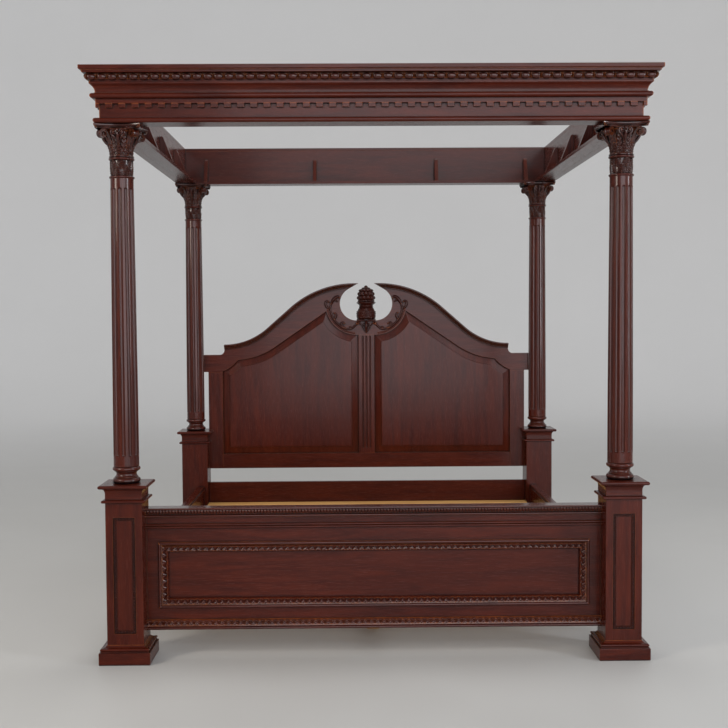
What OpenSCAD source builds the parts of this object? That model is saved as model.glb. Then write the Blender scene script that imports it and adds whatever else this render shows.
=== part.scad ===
// Four-poster canopy bed for a king-size mattress.
// Four fluted columns on square pedestals carry a moulded canopy frame. A broken-pediment headboard, a
// panelled footboard and two side rails hold a slatted base. All sizes are in millimetres.
// Origin: the floor at the middle of the bed. +Z is up, the foot end is at -Y and the head end at +Y.

/* [Plan] */
// Distance between the column centres across the bed
post_span_x = 2088; // [2080:2:2100]
// Distance between the column centres along the bed
post_span_y = 2100; // [2096:2:2140]

/* [Pedestals] */
// Side of the square plinth blocks on the floor
plinth_w = 214; // [206:2:224]
// Height of the plinth blocks, without the base moulding above them
plinth_h = 52; // [40:1:60]
// Side of the square pedestals
pedestal_w = 153; // [148:1:158]
// Height above the floor of the pedestals' top, under their caps
pedestal_top = 676; // [670:1:700]
// Side of the slab on top of the pedestal caps
cap_w = 204; // [196:2:212]
// Height of a pedestal cap
cap_h = 75; // [70:1:80]

/* [Columns] */
// Shaft diameter at the foot
shaft_d_foot = 106; // [102:1:110]
// Shaft diameter under the capital
shaft_d_head = 95.5; // [92:0.5:100]
// Height of the column, from the pedestal cap to the capital
column_h = 1359; // [1300:1:1400]
// Number of flutes round a shaft
flute_count = 12; // [8:1:14]
// Radius of the round-bottomed flutes
flute_r = 9; // [7:0.5:10]
// Height of a capital with its abacus
capital_h = 132; // [125:1:140]
// Side of the square that the abacus fills
abacus_w = 200; // [190:2:212]

/* [Canopy] */
// Height of the canopy frame
canopy_h = 224; // [220:1:230]
// Distance that the canopy's top edge stands out from the column centres
canopy_overhang = 142; // [138:1:150]
// Number of dentils along each side
dentil_count = 42; // [36:1:46]
// Thickness of the gusset plates inside the canopy
gusset_t = 20; // [16:1:24]

/* [Headboard] */
// Height above the floor of the headboard's lower edge
head_bottom = 512; // [500:1:540]
// Height above the floor of the pediment tips
head_top = 1642; // [1632:1:1650]
// Thickness of the headboard frame
head_t = 40; // [36:1:44]
// Radius of the two round cut-outs under the pediment tips
lobe_r = 103; // [98:1:106]
// Width of the bevel round the raised panels
bevel_w = 43; // [36:1:48]

/* [Footboard] */
// Height above the floor of the footboard's lower edge
foot_bottom = 117; // [110:1:130]
// Height above the floor of the footboard frame, under its cap moulding
foot_top = 636; // [626:1:640]
// Thickness of the footboard frame
foot_t = 39; // [36:1:42]

/* [Base] */
// Height above the floor of the side rails' top edge
rail_top = 415; // [410:1:430]
// Height of a side rail
rail_h = 190; // [180:1:200]
// Thickness of a side rail
rail_t = 37; // [30:1:40]
// Height above the floor of the slats' top, where the mattress lies
slat_top = 310; // [300:1:316]
// Number of slats
slat_count = 14; // [10:1:16]

/* [Hidden] */
mahogany = [0.35, 0.13, 0.07];
dark_mahogany = [0.24, 0.08, 0.05];
slat_wood = [0.78, 0.58, 0.34];
steel = [0.6, 0.6, 0.62];

px = post_span_x / 2;
py = post_span_y / 2;
pedestal_in = px - pedestal_w / 2;
cap_top = pedestal_top + cap_h;
column_top = cap_top + column_h;
canopy_z = column_top + capital_h;

socket_h = 26;
stud_r = 10;
stud_low = pedestal_top - 76;
stud_high = cap_top + 89;
tenon_r = 25;
tenon_h = 40;
pin_r = 8;
pin_low = canopy_z - 47;
tenon_len = 30;
round_fn = 64;

panel_w = 92;
panel_low = 125;
panel_high = 615;
panel_band = 14;
panel_depth = 6;
panel_proud = 2;

soffit_in = -24;
soffit_out = 52;
soffit_t = 16;
top_board_t = 16;
inner_board_t = 14;
frieze_out = 73.5;
dentil_out = 86;
dentil_drop = 16;
side_gussets = [-720, -260, 200, 660];
rear_gussets = [-967, -307, 431, 975];

head_face = py + 20;
head_back = head_face + head_t;
head_open_x = 881;
head_open_low = 600;
head_shoulder = 1101;
mullion_x = 48;
crown_x = 868;
crown_low = 1272;
crown_r_low = 399;
crown_r_high = 588;
crown_flat = 75;
tip_x = 47;
crown_t = 30;
crown_lip_t = 12;
crown_proud = 28;
crown_step = 18;
ear_x = 994;
ear_low = 1105;
ear_top = 1209;
ear_cove_r = 30;
lobe_x = 57.5;
lobe_z = head_top - 124.5;
panel_arc_r = 191;
panel_flat_x = 808;
panel_flat_z = 1178;
panel_sweep_r = 430;
panel_slope = 34.4;
panel_corner_r = 196;
panel_corner = [-947.4, 1293.5];
panel_back_gap = 8;
panel_t = 18;
field_t = 10;
seat_x = 38;
seat_z = 1424;
finial_h = 205;
finial_peg_r = 8;
finial_peg_h = 30;
scroll_r = [165, 188];
scroll_t = 10;

foot_face = -(py - 15);
foot_back = foot_face + foot_t;
foot_open_x = 902;
foot_open_low = 226;
foot_open_high = 478;
foot_panel_set = 8;
foot_panel_t = 24;
bead_r = 5;

rail_in = 990;
rail_end = py - pedestal_w / 2;
rail_x = rail_in + rail_t / 2;
head_rail_face = py - 14;
head_rail_low = 242;
head_rail_high = 432;
head_rail_t = 25;
slat_t = 20;
slat_w = 90;
slat_half = pedestal_in - 1.5;
slat_first = -935;
slat_last = 975;
cleat_w = 50;
cleat_h = 40;
beam_w = 70;
beam_h = 80;
leg_w = 56;
leg_places = [-620, 20, 660];
bolt_r = 5;
bolt_heights = [275, 365];
bolt_in = 80;
bolt_out = 55;
nut_r = 9;
nut_len = 22;

// Points of an arc from angle a0 to angle a1, in steps of the same size.
function arc(c, r, a0, a1, n = 8) =
    [for (i = [0:n]) let (a = a0 + (a1 - a0) * i / n) [c[0] + r * cos(a), c[1] + r * sin(a)]];

// Angle of the straight stretch that joins two arcs, each level at its own end.
function sweep_angle(dx, dz, r_sum) =
    let (run = norm([dx, dz - r_sum]))
    atan2(dz - r_sum, dx) + atan2(r_sum, sqrt(run * run - r_sum * r_sum));

// Left half of the crown line, moved down by d: a hollow arc, a straight rise and a round arc to the tip.
function crown_line(d) =
    let (a = sweep_angle(crown_x - crown_flat, head_top - crown_low, crown_r_low + crown_r_high))
    concat(
        arc([-crown_x, crown_low + crown_r_low], crown_r_low + d, -90, a - 90, 12),
        arc([-crown_flat, head_top - crown_r_high], crown_r_high - d, 90 + a, 90, 14),
        [[-tip_x, head_top - d]]
    );

// A square moulding: the half-width and height points of its section, mitred round all four sides.
module square_moulding(section) {
    outline = concat(section, [for (i = [len(section) - 1:-1:0]) [-section[i][0], section[i][1]]]);
    long = 4 * plinth_w;
    intersection() {
        rotate([90, 0, 0]) linear_extrude(long, center = true) polygon(outline);
        rotate([90, 0, 90]) linear_extrude(long, center = true) polygon(outline);
    }
}

// A box between two opposite corners.
module block(low, high) {
    translate(low) cube(high - low);
}

// A flat shape drawn in X and Z, given thickness from y0 back to y1.
module slab(y0, y1) {
    translate([0, y1, 0]) rotate([90, 0, 0]) linear_extrude(y1 - y0) children();
}

module at_post(side, end) {
    translate([side * px, end * py, 0]) children();
}

module both_sides() {
    for (side = [-1, 1]) scale_x(side) children();
}

module scale_x(side) {
    if (side > 0) children();
    else mirror([1, 0, 0]) children();
}

module stud_bore(side, end) {
    at_post(side, end) translate([0, 0, stud_low]) cylinder(h = stud_high - stud_low, r = stud_r);
}

module pin_bore(side, end) {
    at_post(side, end) translate([0, 0, pin_low]) cylinder(h = canopy_z + soffit_t - pin_low, r = pin_r);
}

// ---- Posts ----

module plinth(side, end) {
    half = plinth_w / 2;
    core = pedestal_w / 2;
    section = [
        [half, 0], [half, plinth_h], [half - 7, plinth_h], [half - 7, plinth_h + 6],
        [half - 11, plinth_h + 8], [half - 16, plinth_h + 12], [half - 20, plinth_h + 18],
        [core + 3, plinth_h + 24], [core + 1, plinth_h + socket_h]
    ];
    color(mahogany) at_post(side, end) difference() {
        square_moulding(section);
        block([-core, -core, plinth_h], [core, core, plinth_h + socket_h + 1]);
    }
}

module pedestal(side, end) {
    core = pedestal_w / 2;
    color(mahogany) difference() {
        at_post(side, end) block([-core, -core, plinth_h], [core, core, pedestal_top]);
        stud_bore(side, end);
        bolt_set(side, end);
        if (end < 0) {
            pedestal_recess(side);
            scale_x(side) foot_tenon();
        } else {
            scale_x(side) head_tenon();
            scale_x(side) head_rail_tenon();
        }
    }
}

module pedestal_recess(side) {
    front = -py - pedestal_w / 2;
    translate([side * px, 0, 0])
        block([-panel_w / 2, front - 1, panel_low], [panel_w / 2, front + panel_depth, panel_high]);
}

module pedestal_moulding(side) {
    front = -py - pedestal_w / 2;
    half = panel_w / 2;
    field = half - panel_band;
    color(dark_mahogany) translate([side * px, 0, 0]) difference() {
        block([-half, front - panel_proud, panel_low], [half, front + panel_depth, panel_high]);
        block([-field, front - panel_depth, panel_low + panel_band],
              [field, front + 2 * panel_depth, panel_high - panel_band]);
    }
}

// A bead, a plain neck, a cove and a round-edged slab. The rear caps are notched round the headboard.
module cap(side, end) {
    core = pedestal_w / 2;
    half = cap_w / 2;
    section = [
        [core, 0], [core + 9, 2], [core + 14.5, 6], [core + 9, 10], [core, 12], [core, cap_h - 39],
        [core + 2.5, cap_h - 29], [core + 6.5, cap_h - 18], [half - 5, cap_h - 16], [half, cap_h - 12],
        [half, cap_h - 4], [half - 4, cap_h]
    ];
    color(mahogany) difference() {
        at_post(side, end) translate([0, 0, pedestal_top]) square_moulding(section);
        stud_bore(side, end);
        if (end > 0)
            scale_x(side)
                block([pedestal_in - 60, head_face, head_bottom], [pedestal_in, head_back, ear_low]);
    }
}

// A turned base, a slightly swelling fluted shaft, a ringed drum and a round tenon for the capital.
module column(side, end) {
    foot = shaft_d_foot / 2;
    head = shaft_d_head / 2;
    shaft_low = 72;
    flute_low = 122;
    flute_high = column_h - 134;
    drum = column_h - 78;
    outline = concat(
        [[0, 0]], arc([foot - 7, 12], 12, -90, 90, 8),
        [[foot - 5, 24], [foot - 5, 28]], arc([foot + 2, 39], 13, 225, 135, 6),
        [[foot - 5, 50]], arc([foot - 4, 61], 9, -90, 90, 8),
        [[foot, shaft_low], [foot - 0.5, column_h * 0.26], [foot - 2.5, column_h * 0.57],
         [head, flute_high + 9], [head, drum - 12], [head + 2.5, drum - 10], [head + 4.5, drum - 4],
         [head + 2.5, drum + 2], [head + 0.5, drum + 4], [head + 0.5, column_h - 12],
         [head + 3, column_h - 11], [head + 5, column_h - 6], [head + 3, column_h - 1],
         [head + 2, column_h], [tenon_r, column_h], [tenon_r, column_h + tenon_h],
         [0, column_h + tenon_h]]
    );
    tilt = atan((foot - head) / (flute_high - flute_low));
    reach = flute_high - flute_low;
    color(mahogany) difference() {
        at_post(side, end) translate([0, 0, cap_top]) difference() {
            rotate_extrude($fn = round_fn) polygon(outline);
            for (i = [0:flute_count - 1]) rotate([0, 0, i * 360 / flute_count])
                translate([foot + 3, 0, flute_low]) rotate([0, -tilt, 0]) rotate_extrude($fn = 24)
                    polygon([[0, -flute_r], [flute_r, 0], [flute_r, reach], [0, reach + flute_r]]);
        }
        stud_bore(side, end);
    }
}

// The leafy bell, a scroll at each corner, two small scrolls on each side and the hollow-sided abacus.
module capital(side, end) {
    bell_h = capital_h - 20;
    hollow_r = 216;
    hollow_at = 289;
    volute_r = 18;
    volute_at = 94;
    bell = [
        [0, 0], [49, 0], [51, 3], [46, 9], [53, 34], [57, 46], [51, 50], [57, 70], [64, 82], [58, 88],
        [62, 98], [68, bell_h - 4], [70, bell_h], [0, bell_h]
    ];
    stem = [
        [40, 36], [58, 44], [volute_at - 10, bell_h - 38], [volute_at, bell_h - 40], [volute_at, bell_h],
        [40, bell_h]
    ];
    color(mahogany) difference() {
        at_post(side, end) translate([0, 0, column_top]) {
            rotate_extrude($fn = round_fn) polygon(bell);
            translate([0, 0, bell_h]) linear_extrude(capital_h - bell_h) difference() {
                intersection() {
                    square(abacus_w, center = true);
                    rotate(45) square(abacus_w * 1.335, center = true);
                }
                for (a = [0:90:270]) rotate(a) translate([hollow_at, 0]) circle(r = hollow_r, $fn = 96);
            }
            for (a = [45:90:315]) rotate([0, 0, a]) {
                translate([volute_at, 0, bell_h - 22]) rotate([90, 0, 0])
                    cylinder(h = 26, r = volute_r, center = true, $fn = 32);
                translate([0, 10, 0]) rotate([90, 0, 0]) linear_extrude(20) polygon(stem);
            }
            for (a = [0:90:270], y = [-16, 16]) rotate([0, 0, a]) translate([60, y, bell_h - 15])
                rotate([0, 90, 0]) cylinder(h = 17, r = 14, $fn = 32);
        }
        at_post(side, end) translate([0, 0, column_top - 1]) cylinder(h = tenon_h + 1, r = tenon_r);
        pin_bore(side, end);
    }
}

module post_studs() {
    color(steel) for (side = [-1, 1], end = [-1, 1]) stud_bore(side, end);
}

module canopy_pins() {
    color(steel) for (side = [-1, 1], end = [-1, 1]) pin_bore(side, end);
}

// ---- Canopy: each side is drawn along X with its outer face towards -Y, then turned into place ----

// Plan of a mitred board between the overhangs out0 and out1 from the column centre line.
module mitred_plan(half, out0, out1) {
    polygon([[-half - out0, -out0], [half + out0, -out0], [half + out1, -out1], [-half - out1, -out1]]);
}

module cornice_at(turn, reach) {
    rotate([0, 0, turn]) translate([0, -reach, 0]) children();
}

module cornice(half) {
    over = canopy_overhang;
    top = canopy_h - top_board_t;
    outer = concat(
        [[soffit_out, 0], [over - 54, 0]], arc([over - 56, 10], 10, -60, 60, 6), [[frieze_out, 20]],
        [[frieze_out, 62 + dentil_drop], [dentil_out, 62 + dentil_drop], [dentil_out, 97]],
        arc([over - 47, 108], 10, -75, 75, 6),
        [[over - 55, 120]], arc([over - 19, 122], 36, 180, 122, 6),
        [[over - 37, 156], [over - 37, 164], [over - 32, 166]], arc([over - 40, 190], 22, -66, 2, 5),
        [[over - 16, 194], [over - 12, 197], [over - 7, 200], [over - 3, 204], [over - 2, top]]
    );
    inner = [
        [over - 18, top], [over - 26, 194], [over - 45, 168], [over - 68, 120],
        [soffit_out + inner_board_t, 112], [soffit_out + inner_board_t, top], [soffit_out, top]
    ];
    span = 2 * (half + dentil_out);
    pitch = span / dentil_count;
    gap = pitch * 0.48;
    translate([0, 0, canopy_z]) {
        intersection() {
            union() {
                rotate([90, 0, 90]) linear_extrude(2 * (half + over), center = true)
                    polygon([for (p = concat(outer, inner)) [-p[0], p[1]]]);
                slab(-dentil_out, -frieze_out) difference() {
                    translate([-span / 2, 62]) square([span, dentil_drop + 2]);
                    for (i = [0:dentil_count - 1]) translate([(i + 0.5) * pitch - span / 2, 61])
                        translate([-gap / 2, 0]) square([gap, dentil_drop + 1]);
                }
            }
            linear_extrude(canopy_h) mitred_plan(half, soffit_in, over);
        }
        translate([0, 0, top]) linear_extrude(top_board_t) mitred_plan(half, soffit_out, over);
    }
}

module soffit(half) {
    translate([0, 0, canopy_z]) linear_extrude(soffit_t) mitred_plan(half, soffit_in, soffit_out);
}

// A gusset plate that stands on the soffit against the canopy's inner board, with a leaning inner edge.
module gusset(x) {
    outline = [
        [soffit_in + 4, soffit_t], [soffit_out, soffit_t], [soffit_out, 150], [45, 156], [37, 154], [32, 147]
    ];
    translate([x - gusset_t / 2, 0, canopy_z]) rotate([90, 0, 90]) linear_extrude(gusset_t)
        polygon([for (p = outline) [-p[0], p[1]]]);
}

module front_cornice() { color(mahogany) cornice_at(0, py) cornice(px); }
module rear_cornice() { color(mahogany) cornice_at(180, py) cornice(px); }
module left_cornice() { color(mahogany) cornice_at(-90, px) cornice(py); }
module right_cornice() { color(mahogany) cornice_at(90, px) cornice(py); }

module pinned_soffit() {
    color(dark_mahogany) difference() {
        children();
        for (side = [-1, 1], end = [-1, 1]) pin_bore(side, end);
    }
}

module front_soffit() { pinned_soffit() cornice_at(0, py) soffit(px); }
module rear_soffit() { pinned_soffit() cornice_at(180, py) soffit(px); }
module left_soffit() { pinned_soffit() cornice_at(-90, px) soffit(py); }
module right_soffit() { pinned_soffit() cornice_at(90, px) soffit(py); }

module canopy_gussets() {
    color(dark_mahogany) {
        for (x = rear_gussets) cornice_at(180, py) gusset(-x);
        for (x = rear_gussets) cornice_at(0, py) gusset(x);
        for (y = side_gussets) cornice_at(-90, px) gusset(-y);
        for (y = side_gussets) cornice_at(90, px) gusset(y);
    }
}

// ---- Headboard ----

// The whole outline above the shoulders: ears, hollow quarter rounds and the two halves of the pediment.
module head_outline() {
    left = concat(
        [[0, head_shoulder], [-pedestal_in, head_shoulder], [-pedestal_in, ear_low], [-ear_x, ear_low],
         [-ear_x, ear_top]],
        arc([-crown_x - ear_cove_r, ear_top + ear_cove_r], ear_cove_r, -90, 0, 6),
        crown_line(0), [[-tip_x, lobe_z], [0, lobe_z]]
    );
    both_flat() polygon(left);
}

module both_flat() {
    children();
    mirror([1, 0]) children();
}

// The round cut-outs: each runs on from its circle to the pediment tip, which it brings to a point.
module lobes() {
    tip = [lobe_x - tip_x, head_top - lobe_z];
    touch = atan2(tip[1], tip[0]) + acos(lobe_r / norm(tip));
    both_flat() translate([-lobe_x, lobe_z]) {
        circle(r = lobe_r, $fn = 96);
        polygon([[0, 0], [tip[0] + 1, 0], tip, [lobe_r * cos(touch), lobe_r * sin(touch)]]);
    }
}

// Left panel outline, drawn in by d on every side.
module panel_outline(d) {
    sweep_r = panel_sweep_r + d;
    sweep_c = [-panel_flat_x, panel_flat_z + panel_sweep_r];
    sweep_end = arc(sweep_c, sweep_r, -90, panel_slope - 90, 1)[1];
    right = -mullion_x - d;
    left = -head_open_x + d;
    difference() {
        polygon(concat(
            [[left, head_open_low + d], [right, head_open_low + d],
             [right, sweep_end[1] + (right - sweep_end[0]) * tan(panel_slope)]],
            arc(sweep_c, sweep_r, panel_slope - 90, -90, 8), [[left, sweep_c[1] - sweep_r]]
        ));
        translate([-lobe_x, lobe_z]) circle(r = panel_arc_r + d, $fn = 96);
        translate(panel_corner) circle(r = panel_corner_r + d, $fn = 96);
    }
}

module headboard_top_rail() {
    color(mahogany) difference() {
        slab(head_face, head_back) {
            difference() {
                head_outline();
                lobes();
                both_flat() panel_outline(0);
                translate([-mullion_x, head_shoulder - 1])
                    square([2 * mullion_x, lobe_z - panel_arc_r - head_shoulder + 1]);
            }
            translate([-seat_x, lobe_z - panel_arc_r]) square([2 * seat_x, seat_z - lobe_z + panel_arc_r]);
        }
        finial_peg();
    }
}

module headboard_stile() {
    color(mahogany) {
        block([head_open_x, head_face, head_bottom], [pedestal_in, head_back, head_shoulder]);
        head_tenon();
    }
}

module head_tenon() {
    block([pedestal_in, head_face + 10, head_bottom + 28], [pedestal_in + tenon_len, head_back - 10, 650]);
}

module headboard_left_stile() { scale_x(-1) headboard_stile(); }
module headboard_right_stile() { headboard_stile(); }

module headboard_bottom_rail() {
    color(mahogany) block([-head_open_x, head_face, head_bottom], [head_open_x, head_back, head_open_low]);
}

module headboard_centre_stile() {
    high = lobe_z - panel_arc_r;
    flute = 6;
    low = head_open_low + 32;
    run = high - 8 - low;
    color(mahogany) difference() {
        block([-mullion_x, head_face, head_open_low], [mullion_x, head_back, high]);
        for (x = [-22, 0, 22]) translate([x, head_face, low]) rotate_extrude($fn = 24)
            polygon([[0, -flute], [flute, 0], [flute, run - flute], [0, run]]);
    }
}

module headboard_panel() {
    field_face = head_back - panel_back_gap - panel_t - field_t;
    color(mahogany) {
        slab(field_face + field_t, head_back - panel_back_gap) panel_outline(0);
        slab(field_face, field_face + field_t) panel_outline(bevel_w);
    }
}

module headboard_left_panel() { headboard_panel(); }
module headboard_right_panel() { scale_x(-1) headboard_panel(); }

// The crown moulding on the face of the top rail: a thick lip along the edge over a thinner band.
module crown() {
    color(dark_mahogany) {
        crown_band(0, crown_lip_t, crown_proud);
        crown_band(crown_lip_t, crown_t, crown_step);
    }
}

module crown_band(d0, d1, proud) {
    lower = crown_line(d1);
    slab(head_face - proud, head_face) difference() {
        polygon(concat(crown_line(d0), [for (i = [len(lower) - 1:-1:0]) lower[i]]));
        lobes();
    }
}

module headboard_left_crown() { crown(); }
module headboard_right_crown() { scale_x(-1) crown(); }

// The carved spray that follows the lower edge of a cut-out and curls over at its top.
module scroll() {
    color(dark_mahogany) slab(head_face - scroll_t, head_face) {
        intersection() {
            translate([-lobe_x, lobe_z]) difference() {
                circle(r = scroll_r[1], $fn = 96);
                circle(r = scroll_r[0], $fn = 96);
                rotate(195) square([400, 1000]);
                rotate(195) translate([-400, 0]) square([400, 1000]);
            }
            translate([-300, lobe_z - 220]) square([250, 220]);
        }
        for (place = [[178, 178, 13], [116, 160, 14], [146, 168, 12]])
            translate([-lobe_x + place[0] * cos(place[1]), lobe_z + place[0] * sin(place[1])])
                circle(r = place[2], $fn = 32);
    }
}

module headboard_left_scroll() { scroll(); }
module headboard_right_scroll() { scale_x(-1) scroll(); }

module headboard_leaf_drop() {
    color(dark_mahogany) slab(head_face - 16, head_face)
        both_flat() polygon([[0, seat_z], [-36, seat_z], [-49, seat_z - 8], [-46, seat_z - 18],
                             [-34, seat_z - 29], [-22, seat_z - 44], [-10, seat_z - 66], [0, seat_z - 88]]);
}

module finial_peg() {
    translate([0, (head_face + head_back) / 2, seat_z - finial_peg_h])
        cylinder(h = finial_peg_h + 1, r = finial_peg_r);
}

// A leaf-wrapped urn under a scaled bud.
module headboard_finial() {
    outline = [
        [0, 0], [50, 0], [55, 5], [57, 16], [57, 34], [54, 50], [49, 62], [43, 69], [45, 72], [42, 76],
        [43, 82], [57, 95], [58, 100], [50, 103], [53, 116], [54, 136], [49, 156], [42, 171], [32, 183],
        [18, 193], [10, 197], [7, 202], [0, finial_h]
    ];
    color(dark_mahogany) {
        translate([0, (head_face + head_back) / 2, seat_z]) rotate_extrude($fn = round_fn) polygon(outline);
        finial_peg();
    }
}

module head_rail() {
    color(mahogany) {
        block([-pedestal_in, head_rail_face, head_rail_low],
              [pedestal_in, head_rail_face + head_rail_t, head_rail_high]);
        both_sides() head_rail_tenon();
    }
}

module head_rail_tenon() {
    block([pedestal_in, head_rail_face + 6, head_rail_low + 28],
          [pedestal_in + tenon_len, head_rail_face + head_rail_t - 6, head_rail_high - 32]);
}

// ---- Footboard ----

// A frame in the X-Z plane between two rectangles that share their middle.
module ring(y0, y1, half_out, low_out, high_out, half_in, inset) {
    slab(y0, y1) difference() {
        translate([-half_out, low_out]) square([2 * half_out, high_out - low_out]);
        translate([-half_in, low_out + inset]) square([2 * half_in, high_out - low_out - 2 * inset]);
    }
}

module footboard_frame() {
    color(mahogany) {
        difference() {
            block([-pedestal_in, foot_face, foot_bottom], [pedestal_in, foot_back, foot_top]);
            block([-foot_open_x, foot_face - 1, foot_open_low],
                  [foot_open_x, foot_back + 1, foot_open_high]);
        }
        both_sides() foot_tenon();
        for (z = [foot_top - 80.5, foot_top - 70]) translate([-pedestal_in, foot_face, z]) rotate([0, 90, 0])
            cylinder(h = 2 * pedestal_in, r = bead_r, $fn = 32);
    }
}

module foot_tenon() {
    block([pedestal_in, foot_face + 9, foot_bottom + 83],
          [pedestal_in + tenon_len, foot_back - 10, foot_top - 76]);
}

module footboard_panel() {
    face = foot_face + foot_panel_set;
    color(mahogany)
        block([-foot_open_x, face, foot_open_low], [foot_open_x, face + foot_panel_t, foot_open_high]);
}

// The raised moulding round the panel: an outer bead and a lower carved band that reaches to the panel.
module footboard_panel_moulding() {
    bead_w = 14;
    lap = 15;
    band_w = 29;
    color(dark_mahogany) {
        ring(foot_face - 18, foot_face, foot_open_x + lap, foot_open_low - lap, foot_open_high + lap,
             foot_open_x + lap - bead_w, bead_w);
        ring(foot_face - 10, foot_face, foot_open_x + lap - bead_w, foot_open_low - lap + bead_w,
             foot_open_high + lap - bead_w, foot_open_x + lap - bead_w - band_w, band_w);
        ring(foot_face, foot_face + foot_panel_set, foot_open_x, foot_open_low, foot_open_high,
             foot_open_x + lap - bead_w - band_w, band_w - lap + bead_w);
    }
}

// The cap moulding hooks over the frame's top edge and stands out in front of it.
module footboard_cap_moulding() {
    cap_t = 5;
    outline = [
        [foot_back, foot_top], [foot_face, foot_top], [foot_face, foot_top - 38],
        [foot_face - 6, foot_top - 38], [foot_face - 10, foot_top - 29], [foot_face - 7, foot_top - 23],
        [foot_face - 15, foot_top - 12],
        [foot_face - 25, foot_top], [foot_face - 25, foot_top + cap_t], [foot_back, foot_top + cap_t]
    ];
    color(mahogany) rotate([90, 0, 90]) linear_extrude(2 * pedestal_in, center = true) polygon(outline);
}

module footboard_base_moulding() {
    color(dark_mahogany) {
        block([-pedestal_in, foot_face - 8, foot_bottom], [pedestal_in, foot_face, foot_bottom + 44]);
        translate([-pedestal_in, foot_face - 8, foot_bottom + 10]) rotate([0, 90, 0])
            cylinder(h = 2 * pedestal_in, r = bead_r, $fn = 32);
    }
}

// ---- Base ----

// The hidden bed bolt at one height: a shank along Y with a barrel nut across its end in the rail.
module bolt_set(side, end) {
    for (z = bolt_heights) translate([side * rail_x, 0, z]) {
        if (end < 0) bolt();
        else mirror([0, 1, 0]) bolt();
    }
}

module bolt() {
    translate([0, bolt_in - rail_end, 0]) rotate([90, 0, 0]) cylinder(h = bolt_in + bolt_out, r = bolt_r);
    translate([-nut_len / 2, bolt_in - rail_end - nut_r, 0]) rotate([0, 90, 0])
        cylinder(h = nut_len, r = nut_r);
}

module side_rail(side) {
    lip_t = 6;
    color(mahogany) difference() {
        scale_x(side) {
            block([rail_in, -rail_end, rail_top - rail_h], [rail_in + rail_t, rail_end, rail_top]);
            block([rail_in - lip_t, -rail_end, rail_top - 32], [rail_in, rail_end, rail_top - 15]);
        }
        for (end = [-1, 1]) bolt_set(side, end);
    }
}

module left_side_rail() { side_rail(-1); }
module right_side_rail() { side_rail(1); }

module rail_cleats() {
    low = slat_top - slat_t - cleat_h;
    color(slat_wood) both_sides()
        block([rail_in - cleat_w, -rail_end + 1, low], [rail_in, rail_end - 1, low + cleat_h]);
}

module slats() {
    pitch = (slat_last - slat_first) / (slat_count - 1);
    color(slat_wood) for (i = [0:slat_count - 1]) translate([0, slat_first + i * pitch, slat_top - slat_t])
        block([-slat_half, -slat_w / 2, 0], [slat_half, slat_w / 2, slat_t]);
}

module centre_beam() {
    top = slat_top - slat_t;
    color(slat_wood) block([-beam_w / 2, foot_back, top - beam_h], [beam_w / 2, head_rail_face, top]);
}

module centre_legs() {
    high = slat_top - slat_t - beam_h;
    color(slat_wood) for (y = leg_places)
        block([-leg_w / 2, y - leg_w / 2, 0], [leg_w / 2, y + leg_w / 2, high]);
}

module bed_bolts() {
    color(steel) for (side = [-1, 1], end = [-1, 1]) bolt_set(side, end);
}

module front_left_plinth() { plinth(-1, -1); }
module front_right_plinth() { plinth(1, -1); }
module rear_left_plinth() { plinth(-1, 1); }
module rear_right_plinth() { plinth(1, 1); }
module front_left_pedestal() { pedestal(-1, -1); }
module front_right_pedestal() { pedestal(1, -1); }
module rear_left_pedestal() { pedestal(-1, 1); }
module rear_right_pedestal() { pedestal(1, 1); }
module front_left_cap() { cap(-1, -1); }
module front_right_cap() { cap(1, -1); }
module rear_left_cap() { cap(-1, 1); }
module rear_right_cap() { cap(1, 1); }
module front_left_column() { column(-1, -1); }
module front_right_column() { column(1, -1); }
module rear_left_column() { column(-1, 1); }
module rear_right_column() { column(1, 1); }
module front_left_capital() { capital(-1, -1); }
module front_right_capital() { capital(1, -1); }
module rear_left_capital() { capital(-1, 1); }
module rear_right_capital() { capital(1, 1); }
module left_pedestal_moulding() { pedestal_moulding(-1); }
module right_pedestal_moulding() { pedestal_moulding(1); }

front_left_plinth();
front_right_plinth();
rear_left_plinth();
rear_right_plinth();
front_left_pedestal();
front_right_pedestal();
rear_left_pedestal();
rear_right_pedestal();
front_left_cap();
front_right_cap();
rear_left_cap();
rear_right_cap();
front_left_column();
front_right_column();
rear_left_column();
rear_right_column();
front_left_capital();
front_right_capital();
rear_left_capital();
rear_right_capital();
left_pedestal_moulding();
right_pedestal_moulding();
post_studs();
canopy_pins();
front_cornice();
rear_cornice();
left_cornice();
right_cornice();
front_soffit();
rear_soffit();
left_soffit();
right_soffit();
canopy_gussets();
headboard_left_stile();
headboard_right_stile();
headboard_bottom_rail();
headboard_top_rail();
headboard_centre_stile();
headboard_left_panel();
headboard_right_panel();
headboard_left_crown();
headboard_right_crown();
headboard_left_scroll();
headboard_right_scroll();
headboard_leaf_drop();
headboard_finial();
head_rail();
footboard_frame();
footboard_panel();
footboard_cap_moulding();
footboard_panel_moulding();
footboard_base_moulding();
left_side_rail();
right_side_rail();
rail_cleats();
slats();
centre_beam();
centre_legs();
bed_bolts();
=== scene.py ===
"""Four-poster canopy bed: the looks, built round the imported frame.

Shapes are worked out in millimetres, in the frame's own axes, and turned into metres when a mesh is made.
"""

from math import acos, atan2, cos, degrees, exp, hypot, pi, radians, sin, sqrt, tan

import bmesh
import bpy
import numpy as np
from mathutils import Matrix, Vector


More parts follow.
